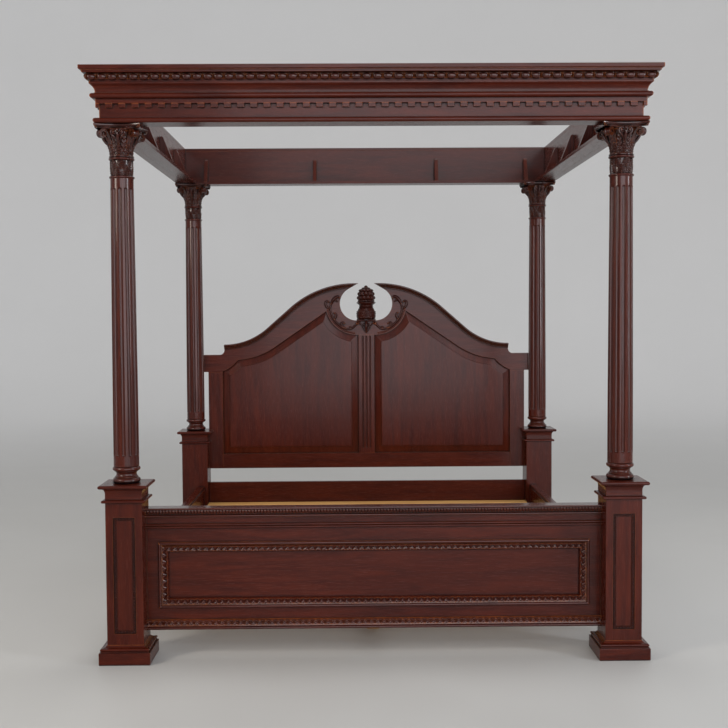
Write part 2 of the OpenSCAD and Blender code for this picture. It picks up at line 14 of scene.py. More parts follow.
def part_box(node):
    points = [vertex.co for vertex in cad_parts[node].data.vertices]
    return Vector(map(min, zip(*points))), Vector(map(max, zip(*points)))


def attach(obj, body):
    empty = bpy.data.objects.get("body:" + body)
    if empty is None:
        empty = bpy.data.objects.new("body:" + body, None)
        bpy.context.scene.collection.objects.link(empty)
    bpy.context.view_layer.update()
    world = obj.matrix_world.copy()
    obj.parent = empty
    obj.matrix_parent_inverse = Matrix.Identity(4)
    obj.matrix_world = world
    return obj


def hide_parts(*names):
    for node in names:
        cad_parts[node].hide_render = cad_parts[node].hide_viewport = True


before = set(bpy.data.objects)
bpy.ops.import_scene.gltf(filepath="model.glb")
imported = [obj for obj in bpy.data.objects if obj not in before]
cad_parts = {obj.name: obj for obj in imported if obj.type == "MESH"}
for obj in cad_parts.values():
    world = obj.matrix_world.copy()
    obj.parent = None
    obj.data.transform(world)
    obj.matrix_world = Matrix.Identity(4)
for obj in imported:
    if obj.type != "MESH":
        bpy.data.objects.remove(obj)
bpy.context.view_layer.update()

MM = 0.001
SIDES = ("left", "right")
ENDS = ("front", "rear")
X, Z, FRONT = (1, 0, 0), (0, 0, 1), (0, -1, 0)


# ---- Outlines ----

def span(node):
    """Lowest and highest corners of a CAD node, in millimetres."""
    low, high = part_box(node)
    return np.array(low) / MM, np.array(high) / MM


def high_of(node):
    """Highest corner of a CAD node, in millimetres."""
    return span(node)[1]


def polar(r, angle, cx=0.0, cy=0.0):
    """The point at a radius and an angle in degrees round a centre."""
    a = radians(angle)
    return cx + r * cos(a), cy + r * sin(a)


def arc(cx, cy, r, a0, a1, steps=8):
    return [polar(r, a, cx, cy) for a in np.linspace(a0, a1, steps + 1)]


def bend(p0, p1, p2, steps=8):
    """Points of a quadratic curve from p0 to p2, pulled towards p1."""
    p0, p1, p2 = (np.array(p, float) for p in (p0, p1, p2))
    return [tuple((1 - t) ** 2 * p0 + 2 * t * (1 - t) * p1 + t * t * p2)
            for t in np.linspace(0, 1, steps + 1)]


def soften(points, radius, steps=3, least_turn=25):
    """Rounds the corners of a closed outline that turn by least_turn degrees or more."""
    points = np.array(points, float)
    made = []
    for a, p, b in zip(np.roll(points, 1, axis=0), points, np.roll(points, -1, axis=0)):
        back, ahead = np.linalg.norm(a - p), np.linalg.norm(b - p)
        if min(back, ahead) < 1e-6:
            continue
        cosine = float(np.clip(np.dot((p - a) / back, (b - p) / ahead), -1, 1))
        turn = acos(cosine)
        if degrees(turn) < least_turn:
            made.append(tuple(p))
            continue
        reach = min(radius * tan(turn / 2), 0.42 * back, 0.42 * ahead)
        made += bend(p + (a - p) / back * reach, p, p + (b - p) / ahead * reach, steps)
    return made


def smooth_path(points, per_span=6):
    """A Catmull-Rom curve through the points, in any number of dimensions."""
    points = np.array(points, float)
    padded = np.vstack([2 * points[0] - points[1], points, 2 * points[-1] - points[-2]])
    made = []
    for i in range(1, len(padded) - 2):
        p0, p1, p2, p3 = padded[i - 1:i + 3]
        for t in np.linspace(0, 1, per_span, endpoint=False):
            made.append(0.5 * (2 * p1 + (p2 - p0) * t + (2 * p0 - 5 * p1 + 4 * p2 - p3) * t ** 2
                               + (3 * p1 - p0 - 3 * p2 + p3) * t ** 3))
    made.append(points[-1])
    return np.array(made)


# ---- Meshes ----

def turn_angles(count):
    return np.linspace(0, 2 * np.pi, count, endpoint=False)


def level_ring(r, z, around):
    """A ring about Z at height z; r is one radius, or one for each point."""
    angles = turn_angles(around)
    return np.column_stack([r * np.cos(angles), r * np.sin(angles), np.full(around, z)])


class Shape:
    """Closed surfaces gathered for one mesh, starting with a loft of the rings given."""

    def __init__(self, rings=None):
        self.points, self.faces, self.count = [], [], 0
        if rings is not None:
            self.loft(rings)

    def add(self, points, faces):
        points = np.asarray(points, float).reshape(-1, 3)
        self.points.append(points)
        self.faces += [tuple(i + self.count for i in face) for face in faces]
        self.count += len(points)

    def loft(self, rings):
        """Skins closed rings of equally many points, and caps the first and the last."""
        rings = np.asarray(rings, float)
        n, m = rings.shape[:2]
        last = (n - 1) * m
        faces = []
        for a in range(0, last, m):
            faces += [(a + j, a + (j + 1) % m, a + m + (j + 1) % m, a + m + j) for j in range(m)]
        self.add(rings, faces + [tuple(range(m))[::-1], tuple(range(last, last + m))])

    def put(self, other, angle=0.0, at=(0, 0, 0), flip_x=False):
        """Adds a copy of another shape, mirrored, turned about Z and moved."""
        points = np.concatenate(other.points)
        if flip_x:
            points = points * (-1, 1, 1)
        c, s = polar(1, angle)
        turn = np.array([[c, s, 0], [-s, c, 0], [0, 0, 1]])
        self.add(points @ turn + np.array(at, float), other.faces)

    def placed(self, *where):
        """A copy, put where angle, at and flip_x say."""
        made = Shape()
        made.put(self, *where)
        return made

    def lathe(self, section, around=96, at=(0, 0, 0)):
        """Turns (radius, height) points about Z."""
        self.loft(np.array([level_ring(r, z, around) for r, z in section]) + np.array(at, float))

    def cord(self, path, radii, sides=8):
        """A round strand along a path, with a radius at each point."""
        path = np.asarray(path, float)
        radii = np.interp(np.linspace(0, 1, len(path)), np.linspace(0, 1, len(radii)), radii)
        tangents = np.gradient(path, axis=0)
        side = np.cross(tangents[0], (0.13, 0.97, 0.21))
        rings = []
        for p, t, r in zip(path, tangents, radii):
            t = t / max(np.linalg.norm(t), 1e-9)
            side = side - t * np.dot(side, t)
            side = side / np.linalg.norm(side)
            other = np.cross(t, side)
            rings.append([p + r * (cos(a) * side + sin(a) * other) for a in turn_angles(sides)])
        self.loft(rings)

    def dome(self, centre, radius, sides=10, rows=5):
        """A small round bead."""
        self.lathe(arc(0, 0, radius, -88, 88, 2 * rows - 1), sides, centre)

    def box(self, low, high, edge=1.0):
        """A board with rounded edges between two corners."""
        low, high = np.array(low, float), np.array(high, float)
        rings = []
        for inset, z in ((edge, low[2]), (0.3 * edge, low[2] + 0.3 * edge), (0, low[2] + edge),
                         (0, high[2] - edge), (0.3 * edge, high[2] - 0.3 * edge), (edge, high[2])):
            x0, y0, x1, y1 = low[0] + inset, low[1] + inset, high[0] - inset, high[1] - inset
            corners = [(x0, y0), (x1, y0), (x1, y1), (x0, y1)]
            rings.append([(x, y, z) for x, y in soften(corners, max(edge - inset * 0.5, 0.3), 2)])
        self.loft(rings)


def piece(name, shape, look, replaces=(), sharp=38):
    """Makes one visible piece that rides on the frame."""
    mesh = bpy.data.meshes.new(name)
    mesh.from_pydata((np.concatenate(shape.points) * MM).tolist(), [], shape.faces)
    mesh.validate()
    work = bmesh.new()
    work.from_mesh(mesh)
    bmesh.ops.remove_doubles(work, verts=work.verts, dist=2e-6)
    bmesh.ops.recalc_face_normals(work, faces=work.faces)
    work.to_mesh(mesh)
    work.free()
    mesh.shade_smooth()
    mesh.set_sharp_from_angle(angle=radians(sharp))
    mesh.materials.append(look)
    made = bpy.data.objects.new(name, mesh)
    shading = made.modifiers.new("shading", "WEIGHTED_NORMAL")
    shading.keep_sharp = True
    shading.weight = 90
    bpy.context.scene.collection.objects.link(made)
    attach(made, "root")
    if replaces:
        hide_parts(*replaces)


def remake(node, ending, shape, look, sharp=38):
    """Makes a finer piece in place of a CAD node."""
    piece(f"{node}_{ending}", shape, look, [node], sharp)


def carved(node, shape, look, sharp):
    remake(node, "carved", shape, look, sharp)


def dress(node, look, edge=1.2):
    """Gives a CAD node its finish, with eased edges."""
    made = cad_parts[node]
    made.data.materials.clear()
    made.data.materials.append(look)
    weld = made.modifiers.new("weld", "WELD")
    weld.merge_threshold = 1e-5
    if edge:
        ease = made.modifiers.new("edges", "BEVEL")
        ease.width = edge * MM
        ease.segments = 2
        ease.limit_method = "ANGLE"
        ease.angle_limit = radians(40)


# ---- Materials ----

class Graph:
    """A material's node tree, written as calls."""

    def __init__(self, name):
        self.material = bpy.data.materials.new(name)
        self.material.use_nodes = True
        self.tree = self.material.node_tree
        self.tree.nodes.clear()

    def node(self, kind, inputs=None, **settings):
        made = self.tree.nodes.new("ShaderNode" + kind)
        for key, value in settings.items():
            setattr(made, key, value)
        for key, value in (inputs or {}).items():
            socket = made.inputs[key]
            if isinstance(value, bpy.types.NodeSocket):
                self.tree.links.new(value, socket)
            else:
                socket.default_value = value
        return made

    def math(self, operation, a, b=0.0, clamp=False):
        return self.node("Math", {0: a, 1: b}, operation=operation, use_clamp=clamp).outputs[0]

    def spread(self, value, low, high, to_low=0.0, to_high=1.0):
        """Maps low..high to to_low..to_high, smoothly and held at both ends."""
        return self.node("MapRange", {0: value, 1: low, 2: high, 3: to_low, 4: to_high},
                         interpolation_type="SMOOTHSTEP").outputs[0]

    def times(self, a, b):
        return self.math("MULTIPLY", a, b)

    def bump(self, height, strength, distance, **below):
        inputs = {"Height": height, "Strength": strength, "Distance": distance, **below}
        return self.node("Bump", inputs).outputs[0]

    def mix(self, factor, a, b):
        return self.node("Mix", {0: factor, 6: a, 7: b}, data_type="RGBA").outputs[2]

    def noise(self, place, scale, detail=3.0, rough=0.55, distortion=0.0):
        return self.node("TexNoise", {"Vector": place, "Scale": scale, "Detail": detail, "Roughness": rough,
                                      "Distortion": distortion}).outputs[0]

    def finish(self, color, roughness, normal, **fixed):
        shader = self.node("BsdfPrincipled", {"Base Color": color, "Roughness": roughness, "Normal": normal,
                                              **{k.replace("_", " "): v for k, v in fixed.items()}})
        output = self.node("OutputMaterial")
        self.tree.links.new(shader.outputs[0], output.inputs[0])
        return self.material


DARK, LIGHT = (0.032, 0.0038, 0.0017, 1), (0.072, 0.0095, 0.0031, 1)
# The second pair: a dark glaze that darkens pores and stain and is also laid into hollows as painted shade,
# and an orange laid on edges as wear and as a painted highlight.
GLAZE_AND_SHADE, WORN_AND_LIT = (0.0040, 0.0010, 0.0010, 1), (0.29, 0.080, 0.022, 1)


def along(graph, axis, stretch):
    """Object coordinates drawn out along the grain."""
    scale = [1.0, 1.0, 1.0]
    scale["xyz".index(axis)] = stretch
    place = graph.node("TexCoord").outputs["Object"]
    return graph.node("Mapping", {"Vector": place, "Scale": scale}).outputs[0]


def varnished(name, axis, crevice=0.010, rub=0.0034, stain=0.0, coat=0.10):
    """Stained mahogany under varnish: ribbon figure, pores, painted shade in hollows, and orange edges that
    are partly rubbed wear and partly painted highlights.
    """
    g = Graph(name)
    fine = along(g, axis, 0.045)
    ribbon = g.noise(along(g, axis, 0.10), 30.0, 3.0, 0.5, 1.0)
    fibre = g.noise(fine, 420.0, 3.0, 0.6)
    pores = g.spread(g.noise(fine, 1100.0, 2.0, 0.5), 0.60, 0.72)
    figure = g.math("ADD", g.times(ribbon, 0.65), g.times(fibre, 0.35))
    colour = g.mix(g.spread(figure, 0.30, 0.70), DARK, LIGHT)
    drift = g.noise(along(g, axis, 0.5), 1.7, 2.0)
    colour = g.mix(g.spread(drift, 0.35, 0.7, 0.0, 0.35), colour, DARK)
    colour = g.mix(g.times(pores, 0.40), colour, GLAZE_AND_SHADE)
    colour = g.mix(stain, colour, GLAZE_AND_SHADE)
    # Painted shade: occlusion within crevice metres darkens hollows, corners and flutes towards the dark
    # glaze colour and roughens them.
    hollow = g.node("AmbientOcclusion", {"Distance": crevice}, samples=8).outputs["AO"]
    painted_shade = g.spread(hollow, 0.35, 0.96, 0.97, 0.0)
    colour = g.mix(painted_shade, colour, GLAZE_AND_SHADE)
    # Edges found by inside occlusion take the orange colour: partly real wear, partly a painted highlight
    # where light would catch the edge.
    rim = g.node("AmbientOcclusion", {"Distance": rub}, samples=8, inside=True).outputs["AO"]
    patchy = g.spread(g.noise(along(g, axis, 0.6), 60.0, 2.0), 0.3, 0.7, 0.4, 1.0)
    worn_and_lit = g.times(g.spread(rim, 0.35, 0.85, 0.70, 0.0), patchy)
    colour = g.mix(worn_and_lit, colour, WORN_AND_LIT)
    roughness = g.spread(fibre, 0.2, 0.8, 0.20, 0.30)
    roughness = g.math("ADD", roughness, g.times(painted_shade, 0.25), True)
    height = g.math("SUBTRACT", g.times(fibre, 0.5), pores)
    waviness = g.noise(along(g, axis, 0.3), 9.0, 2.0)
    bump = g.bump(height, 0.2, 0.0003, Normal=g.bump(waviness, 0.08, 0.004))
    return g.finish(colour, roughness, bump, IOR=1.26, Coat_Weight=coat, Coat_Roughness=0.10, Coat_IOR=1.4)


def raw_wood(name, axis):
    """Clear-lacquered pale boards."""
    g = Graph(name)
    ribbon = g.noise(along(g, axis, 0.06), 55.0, 3.0, 0.5, 1.0)
    fibre = g.noise(along(g, axis, 0.04), 500.0, 3.0, 0.6)
    knots = g.spread(g.noise(along(g, axis, 0.5), 7.0, 2.0), 0.68, 0.76)
    colour = g.mix(g.spread(ribbon, 0.3, 0.7), (0.50, 0.25, 0.070, 1), (0.70, 0.40, 0.13, 1))
    colour = g.mix(g.times(fibre, 0.35), colour, (0.38, 0.21, 0.08, 1))
    colour = g.mix(g.times(knots, 0.7), colour, (0.26, 0.12, 0.05, 1))
    return g.finish(colour, g.spread(fibre, 0.2, 0.8, 0.42, 0.58), g.bump(fibre, 0.3, 0.0004), IOR=1.48)


def bolt_steel(name):
    g = Graph(name)
    place = g.node("TexCoord").outputs["Object"]
    scuff = g.noise(place, 240.0, 4.0, 0.6)
    colour = g.mix(scuff, (0.42, 0.42, 0.43, 1), (0.62, 0.61, 0.59, 1))
    return g.finish(colour, g.spread(scuff, 0.3, 0.7, 0.28, 0.45), g.bump(scuff, 0.2, 0.0002), Metallic=1.0)


def pale_paper(name):
    g = Graph(name)
    place = g.node("TexCoord").outputs["Object"]
    cloud = g.noise(place, 0.8, 3.0)
    wall = g.mix(cloud, (0.80, 0.79, 0.78, 1), (0.84, 0.83, 0.82, 1))
    ground = g.mix(cloud, (0.45, 0.44, 0.42, 1), (0.49, 0.48, 0.46, 1))
    away = g.node("VectorMath", {"Vector": place}, operation="LENGTH").outputs["Value"]
    colour = g.mix(g.spread(away, 3.0, 12.0), ground, wall)
    bump = g.bump(g.noise(place, 30.0, 2.0), 0.03, 0.002)
    return g.finish(colour, g.spread(cloud, 0.3, 0.7, 0.45, 0.6), bump)


WOOD = {axis: varnished("mahogany_" + axis, axis) for axis in "xyz"}
CARVED = {axis: varnished("carved_mahogany_" + axis, axis, 0.014, 0.0022, 0.25, 0.7) for axis in "xyz"}
# The footboard mouldings' finish: wider orange edges, as wear and as painted highlights on beads and leaf
# tips.
WORN_AND_LIT_EDGE = varnished("worn_and_lit_mahogany", "x", 0.005, 0.0042, 0.15, 0.5)
WAXED = {axis: varnished("waxed_mahogany_" + axis, axis, 0.008, 0.0012, 0.45, 0.05) for axis in "xz"}
# The fluted finish reaches 40 mm with its occlusion, so painted shade lies deep in the flutes.
FLUTED = varnished("fluted_mahogany", "z", 0.040, 0.0034, 0.0, 0.4)
SLAT = {axis: raw_wood("slat_wood_" + axis, axis) for axis in "xyz"}
STEEL = bolt_steel("steel")


# ---- Carved patterns: 0 at the ground of the carving, 1 at its highest ----

def leaf_and_dart(u, t):
    """Two rows that lock together: the larger leaves grow from t = 1 and the darts from t = 0."""
    a = abs((u + 0.5) % 1 - 0.5) * 2
    split = 0.24 + 0.60 * a
    if t > split:
        body = (t - split) / (1 - split)
        return min(1.0, 1.25 * body ** 0.7) * (1 - 0.30 * exp(-(a / 0.10) ** 2))
    body = (split - t) / split
    lobes = 0.86 + 0.14 * cos(6 * pi * (1 - a))
    return 0.78 * min(1.0, 1.5 * body ** 0.8) * lobes * min(1.0, t / 0.14)


def small_leaves(u, v):
    """A running row of rounded leaves with a cut between each two and a notch at their tips."""
    a = abs((u + 0.5) % 1 - 0.5) * 2
    body = max(0.0, 1 - (a / 0.90) ** 3) ** 0.6
    return body * (0.72 + 0.28 * cos(2 * pi * (1.5 * v - 0.8 * a)))


def ticks(u):
    """Short upright cuts along a band."""
    a = abs((u + 0.5) % 1 - 0.5) * 2
    return min(1.0, max(0.0, (0.82 - a) / 0.14)) ** 0.5


# ---- Mitred runs ----

def run(shape, at, ways, half, stations, section):
    """Sweeps section(x) = closed (out, up) points along a straight run whose ends are mitred at 45 degrees.

    ways gives the directions of along, out and up; a half of None leaves the ends square."""
    way, out, up = (np.array(w, float) for w in ways)
    at = np.array(at, float)
    rings = []
    for x in stations:
        ring = []
        for o, h in section(x):
            reach = x if half is None else max(-half - o, min(half + o, x))
            ring.append(at + way * reach + out * o + up * h)
        rings.append(ring)
    shape.loft(rings)


def steps_along(half, pitch, per_pitch):
    """Evenly spaced stations from -half to half that fall on whole parts of the pitch, and the true pitch."""
    count = max(1, round(2 * half / pitch))
    return np.linspace(-half, half, count * per_pitch + 1), 2 * half / count


# ---- Posts ----

PANEL_SUNK = 6.0


def square_moulding(section, centre, corner=1.6):
    """Mitres (half-width, height) points round a square with slightly rounded corners."""
    rings = []
    for half, z in section:
        corners = [(-half, -half), (half, -half), (half, half), (-half, half)]
        ring = soften(corners, corner, 2)
        rings.append([(centre[0] + x, centre[1] + y, z) for x, y in ring])
    return Shape(rings)


def frame_sides(half_x, half_z):
    """For each side of an upright frame: the way along it, the way out, half its length and its reach."""
    for way, out, half, reach in ((X, Z, half_x, half_z), (Z, X, half_z, half_x)):
        for sign in (-1, 1):
            yield way, np.array(out) * sign, half, reach


def make_plinth(name, centre, low, top, core):
    """A square block under a flat, a round and a hollow that runs in to the pedestal."""
    half = high_of(name)[0] - centre[0]
    lip = top - 26
    section = (
        [(half - 3, low), (half - 1, low + 1), (half, low + 3), (half, lip - 2.5), (half - 0.8, lip - 0.7),
         (half - 2.5, lip), (half - 6.5, lip), (half - 7, lip + 0.6), (half - 7, lip + 5.4),
         (half - 7.6, lip + 6)]
        + arc(half - 9.5, lip + 11, 5, -60, 90, 8)[2:]
        + bend((half - 13, lip + 16.5), (core + 8, lip + 17), (core + 3.2, lip + 24), 8)
        + [(core + 1, top - 0.4), (core - 2, top)]
    )
    remake(name, "turned", square_moulding(section, centre), WOOD["x"])


def make_pedestal(name, centre, low, top, core, recess):
    """A square post; the front ones have a sunk panel framed by beads."""
    shape = Shape()
    if not recess:
        shape.box((centre[0] - core, centre[1] - core, low), (centre[0] + core, centre[1] + core, top), 1.8)
        remake(name, "post", shape, WOOD["z"])
        return
    half, z0, z1 = recess
    front = centre[1] - core
    plain = soften([(-core, 2 * core), (-core, 0), (core, 0), (core, 2 * core)], 1.8, 3)
    split = len(plain) // 2
    rings = []
    for z, depth in ((low, 0), (z0 - 0.01, 0), (z0, PANEL_SUNK), (z1, PANEL_SUNK), (z1 + 0.01, 0), (top, 0)):
        notch = [(-half, 0), (-half + 0.01, depth), (half - 0.01, depth), (half, 0)]
        ring = plain[:split] + notch + plain[split:]
        rings.append([(centre[0] + x, front + y, z) for x, y in ring])
    shape.loft(rings)
    remake(name, "post", shape, WOOD["z"])


def make_pedestal_beads(name, centre_x, front):
    """The frame inside the sunk panel: a string of small beads between a flat and a sloped edge."""
    low, high = span(name)
    floor = front + PANEL_SUNK
    middle = np.array([centre_x, floor, (low[2] + high[2]) / 2])
    section = soften([(0, -0.5), (0, 2.0), (-1.2, 3.0), (-3.2, 3.0), (-4.2, 1.6), (-9.6, 1.6), (-10.2, 3.6),
                      (-11.4, 4.2), (-13.2, 2.4), (-14.0, -0.5)], 0.7, 2)
    bead_r, bead_pitch, inset = 4.1, 13.2, 6.9
    shape = Shape()
    for way, out, half, reach in frame_sides((high[0] - low[0]) / 2, (high[2] - low[2]) / 2):
        at = middle + out * reach
        run(shape, at, (way, out, FRONT), half, (-2 * half, 2 * half), lambda x: section)
        row = half - inset
        count = round(2 * row / bead_pitch)
        for x in np.linspace(-row, row, count + 1)[:count + way[0]]:
            shape.dome(at + np.array(way) * x - out * inset + (0, -2.4, 0), bead_r, 10, 4)
    remake(name, "beads", shape, WAXED["z"])


def make_cap(name, centre, low, top, core):
    """A bead, a plain neck, a hollow and a slab with a round edge."""
    half = high_of(name)[0] - centre[0]
    section = (
        [(core - 2, low), (core + 4, low)] + arc(core + 8.5, low + 6, 6, -88, 88, 12)
        + [(core + 3, low + 12.2), (core + 0.4, low + 13.2), (core + 0.2, low + 34)]
        + bend((core + 0.2, low + 35), (core + 0.5, low + 52), (core + 8, low + 57), 10)
        + [(core + 9, low + 57.4), (core + 9, low + 60), (half - 9, low + 60)]
        + arc(half - 7.5, low + 67.5, 7.5, -82, 90, 12) + [(half - 20, top), (50, top)]
    )
    remake(name, "moulded", square_moulding(section, centre, 2.4), WOOD["x"])


# A flute is a round cut whose centre lies FLUTE_SET outside the shaft. FLUTE_ENDS are the levels of its
# rounded ends, SHAFT the shaft's radius at heights above the cap, and INNER_R where hidden ends close.
FLUTES, FLUTE_R, FLUTE_SET = 12, 9.0, 3.0
FLUTE_ENDS = (8.47, 8.35, 8.0, 7.3, 6.2, 4.6, 2.6)
SHAFT = ((72, 53.0), (353, 52.5), (775, 50.5), (1234, 47.75))
INNER_R = 30.0
DRUM_UP, COLUMN_TENON = 74.0, 40.0


def fluted_ring(z, radius, flute):
    """One level of the shaft: each sector holds a hollow and the flat fillet beside it."""
    middle = radius + FLUTE_SET
    sector = 2 * pi / FLUTES
    edge = radians(0.4)
    if flute > FLUTE_SET:
        edge = max(edge, acos(min(1, (radius ** 2 + middle ** 2 - flute ** 2) / (2 * radius * middle))))
    ring = []
    for k in range(FLUTES):
        for i in range(-5, 6):
            a = edge * sin(pi / 10 * i)
            under = flute ** 2 - (middle * sin(a)) ** 2
            r = radius
            if flute > FLUTE_SET and under >= 0:
                r = min(radius, middle * cos(a) - sqrt(under))
            ring.append((r, k * sector + a))
        for share in (0.15, 0.5, 0.85):
            ring.append((radius, k * sector + edge + (sector - 2 * edge) * share))
    return [(r * cos(a), r * sin(a), z) for r, a in ring]


def column_shape(height):
    """A turned base, the fluted shaft, a plain core for the drum and a ring over it, from z = 0 up."""
    flute_low, flute_high, drum_low = 122, height - 134, height - DRUM_UP
    z_shaft, r_shaft = zip(*SHAFT)
    base = ([(INNER_R, 0), (44, 0)] + arc(46, 12, 12, -88, 88, 14)
            + [(47.2, 24.2), (48.6, 24.6), (48.6, 27.6), (47.4, 28.2)] + arc(55.5, 39, 13.5, 222, 138, 10)
            + [(47.6, 49.4), (48.8, 50), (48.8, 51.8)] + arc(49, 61, 9, -82, 84, 12)
            + [(50.6, 70.2), (52.2, 70.6), (52.8, 71.4), (53, 74)])
    rings = [fluted_ring(z, r, 0) for r, z in base]
    levels = [(104, 0)]
    levels += [(flute_low - end, sqrt(FLUTE_R ** 2 - end ** 2)) for end in FLUTE_ENDS]
    levels += [(z, FLUTE_R) for z in np.linspace(flute_low, flute_high, 14)]
    levels += [(flute_high + end, sqrt(FLUTE_R ** 2 - end ** 2)) for end in FLUTE_ENDS[::-1]]
    rings += [fluted_ring(z, float(np.interp(z, z_shaft, r_shaft)), flute) for z, flute in levels]
    top = r_shaft[-1]
    neck = ([(top, flute_high + 16), (top, drum_low - 14), (top + 0.8, drum_low - 13.4),
             (top + 0.9, drum_low - 12.4)] + arc(top + 0.4, drum_low - 7.6, 4.6, -80, 80, 10)
            + [(top, drum_low - 2.6), (top - 2, drum_low - 2), (INNER_R, drum_low - 2)])
    rings += [fluted_ring(z, r, 0) for r, z in neck]
    shape = Shape(rings)
    core_r, core_low, core_high = 36, drum_low - 3, height - 11
    shape.lathe([(INNER_R, core_low), (core_r, core_low), (core_r, core_high), (INNER_R, core_high)], 48)
    shape.lathe([(INNER_R, height - 12), (48, height - 12)] + arc(48.9, height - 6.2, 4.6, -80, 80, 10)
                + [(48, height - 0.6), (INNER_R, height)])
    return shape


def drum_shape(height):
    """Two rows of leaves round the drum between the rings."""
    low = height - DRUM_UP
    shape = Shape()
    carved_bell(shape, [(40.6, low - 2.6), (41.4, low + 30), (40.6, low + 63)],
                [(7, 0.0, low - 1, low + 36, 7.0, 0.8), (7, 0.5, low + 24, low + 62, 7.0, 0.8)], 252, 54)
    return shape


def leaf_row(angles, z, count, phase, low, high, rise, curl):
    """How far a row of lobed, ribbed leaves stands out at height z, one leaf to each part of the circle."""
    v = (z - low) / (high - low)
    if v < 0 or v > 1:
        return np.zeros_like(angles)
    across = np.abs((angles * count / (2 * np.pi) + phase + 0.5) % 1 - 0.5) * 2
    edge = 0.98 * max(1 - v ** 2.4, 1e-4) ** 0.5 * (1 - 0.38 * (1 - abs(sin(4 * pi * v))) ** 2)
    inside = np.clip(1 - (across / edge) ** 2, 0, 1)
    body = inside ** 0.45 * (0.55 + 0.45 * v)
    rib = 0.35 * np.exp(-(across / 0.09) ** 2) * (1 - v)
    veins = 0.30 * np.cos(2 * pi * (4 * v - 1.4 * across)) * inside
    return rise * (body + rib + veins) + curl * v ** 4 * inside ** 0.5


def carved_bell(shape, outline, rows, around=288, levels=70):
    """A turned form whose surface carries rows of leaves."""
    angles = turn_angles(around)
    outline_r, outline_z = zip(*outline)
    rings = [level_ring(INNER_R, outline_z[0], around)]
    for z in np.linspace(outline_z[0], outline_z[-1], levels):
        lift = np.max([leaf_row(angles, z, *row) for row in rows], axis=0)
        rings.append(level_ring(np.interp(z, outline_z, outline_r) + lift, z, around))
    shape.loft(rings + [level_ring(INNER_R, outline_z[-1], around)])


VOLUTE_AT, VOLUTE_UP, VOLUTE_R = 93.0, 91.0, 18.0


def volute_shape():
    """A channelled scroll that rises from behind the leaves and rolls up, with a sunk drum and a boss."""
    stem = smooth_path([(44, 30), (50, 56), (60, 84), (74, 103), (86, VOLUTE_UP + 17.2)], 5)
    spiral = zip(np.linspace(VOLUTE_R - 1, 6.5, 46), np.linspace(112, 112 - 600, 46))
    path = np.vstack([stem[:-1], [polar(r, a, VOLUTE_AT, VOLUTE_UP) for r, a in spiral]])
    tangents = np.gradient(path, axis=0)
    tangents /= np.linalg.norm(tangents, axis=1)[:, None]
    rings = []
    for p, t, share in zip(path, tangents, np.linspace(0, 1, len(path))):
        half, plate = 7 + 5.5 * min(1, share * 2.5), 1.6
        normal = np.array([-t[1], t[0]]) * (1 - 0.4 * share)
        outline = [(-half, -plate), (-half, plate + 2.4), (3.0 - half, plate + 2.6), (4.8 - half, plate)]
        outline += [(-side, out) for side, out in outline[::-1]]
        rings.append([((p + normal * out)[0], side, (p + normal * out)[1]) for side, out in outline])
    shape = Shape(rings)
    boss = [(1, -13), (3.6, -12.4), (5.0, -10), (6.0, -6), (VOLUTE_R - 5, -5.4)]
    turned = Shape()
    turned.lathe(boss + [(r, -z) for r, z in boss[::-1]], 28)
    shape.add(np.concatenate(turned.points)[:, [0, 2, 1]] + (VOLUTE_AT, 0, VOLUTE_UP), turned.faces)
    return shape


def face_scrolls():
    """The heart-shaped pair of scrolls under the middle of each side of the abacus."""
    shape = Shape()
    aside, up = 15, 97
    for sign in (-1, 1):
        spiral = zip(np.linspace(71, 77, 34), np.linspace(14.5, 3.5, 34), np.linspace(-75, 430, 34))
        rolled = [(out, polar(r, a)) for out, r, a in spiral]
        curl = np.array([(out, sign * (aside + across), up + rise) for out, (across, rise) in rolled])
        stem = smooth_path([(55, sign * 3, 52), (63, sign * 7, 68), curl[0]], 5)
        shape.cord(np.vstack([stem[:-1], curl]), [3.4, 4.2, 4.0, 3.4, 3.0, 2.6], 8)
        shape.dome((77, sign * aside, up), 4.6, 10, 4)
    leaf = [(60, 0, 54), (66, 0, 64), (73, 0, 76), (79, 0, 88), (80, 0, up)]
    shape.cord(leaf, [1.5, 4.5, 6.0, 5.0, 2.0], 10)
    shape.dome((80, 0, 105), 6.0, 12, 4)
    return shape


def abacus_ring(inset, z):
    """Plan of the abacus: four hollow sides and cut corners, drawn in by inset."""
    r, middle, cut = 216 + inset, 289, 188.5 - 1.41 * inset
    far = cut - middle
    y_end = (far + sqrt(2 * r * r - far * far)) / 2
    ring = []
    for k in range(4):
        c, s = polar(1, 90 * k)
        for y in np.linspace(-y_end, y_end, 13):
            x = middle - sqrt(r * r - y * y)
            ring.append((x * c - y * s, x * s + y * c, z))
    return ring


def capital_shape(height):
    """A leaf-carved bell, corner scrolls, a pair of small scrolls on each face and a hollow-sided abacus."""
    shape = Shape()
    bell = height - 20
    outline = [(43, 4), (41.5, 12), (42.5, 34), (46, 56), (53, 78), (60, 96), (66, bell - 2), (68, bell + 1)]
    shape.lathe([(INNER_R, 0), (49.5, 0), (51.5, 1.2), (52, 3.4), (50.8, 6), (47, 8), (INNER_R, 9)], 64)
    carved_bell(shape, outline, [(8, 0.5, 20, 88, 7.0, 8.0), (8, 0.0, 6, 50, 8.0, 6.5)])
    shape.lathe([(40, bell - 22), (66, bell - 6), (70, bell - 3), (71, bell + 1), (40, bell + 2)], 64)
    volute, scrolls = volute_shape(), face_scrolls()
    for k in range(4):
        shape.put(volute, 45 + 90 * k)
        shape.put(scrolls, 90 * k)
    profile = ([(16, bell), (12, bell)] + bend((11, bell + 1), (10, bell + 6.5), (5, bell + 8), 6)
               + [(4.6, bell + 9.6), (3.0, bell + 9.9)]
               + bend((1.4, bell + 10.6), (0, bell + 12), (0, bell + 15), 5)
               + [(0, height - 2.6), (0.9, height - 0.9), (3.0, height)])
    shape.loft([abacus_ring(inset, z) for inset, z in profile])
    return shape


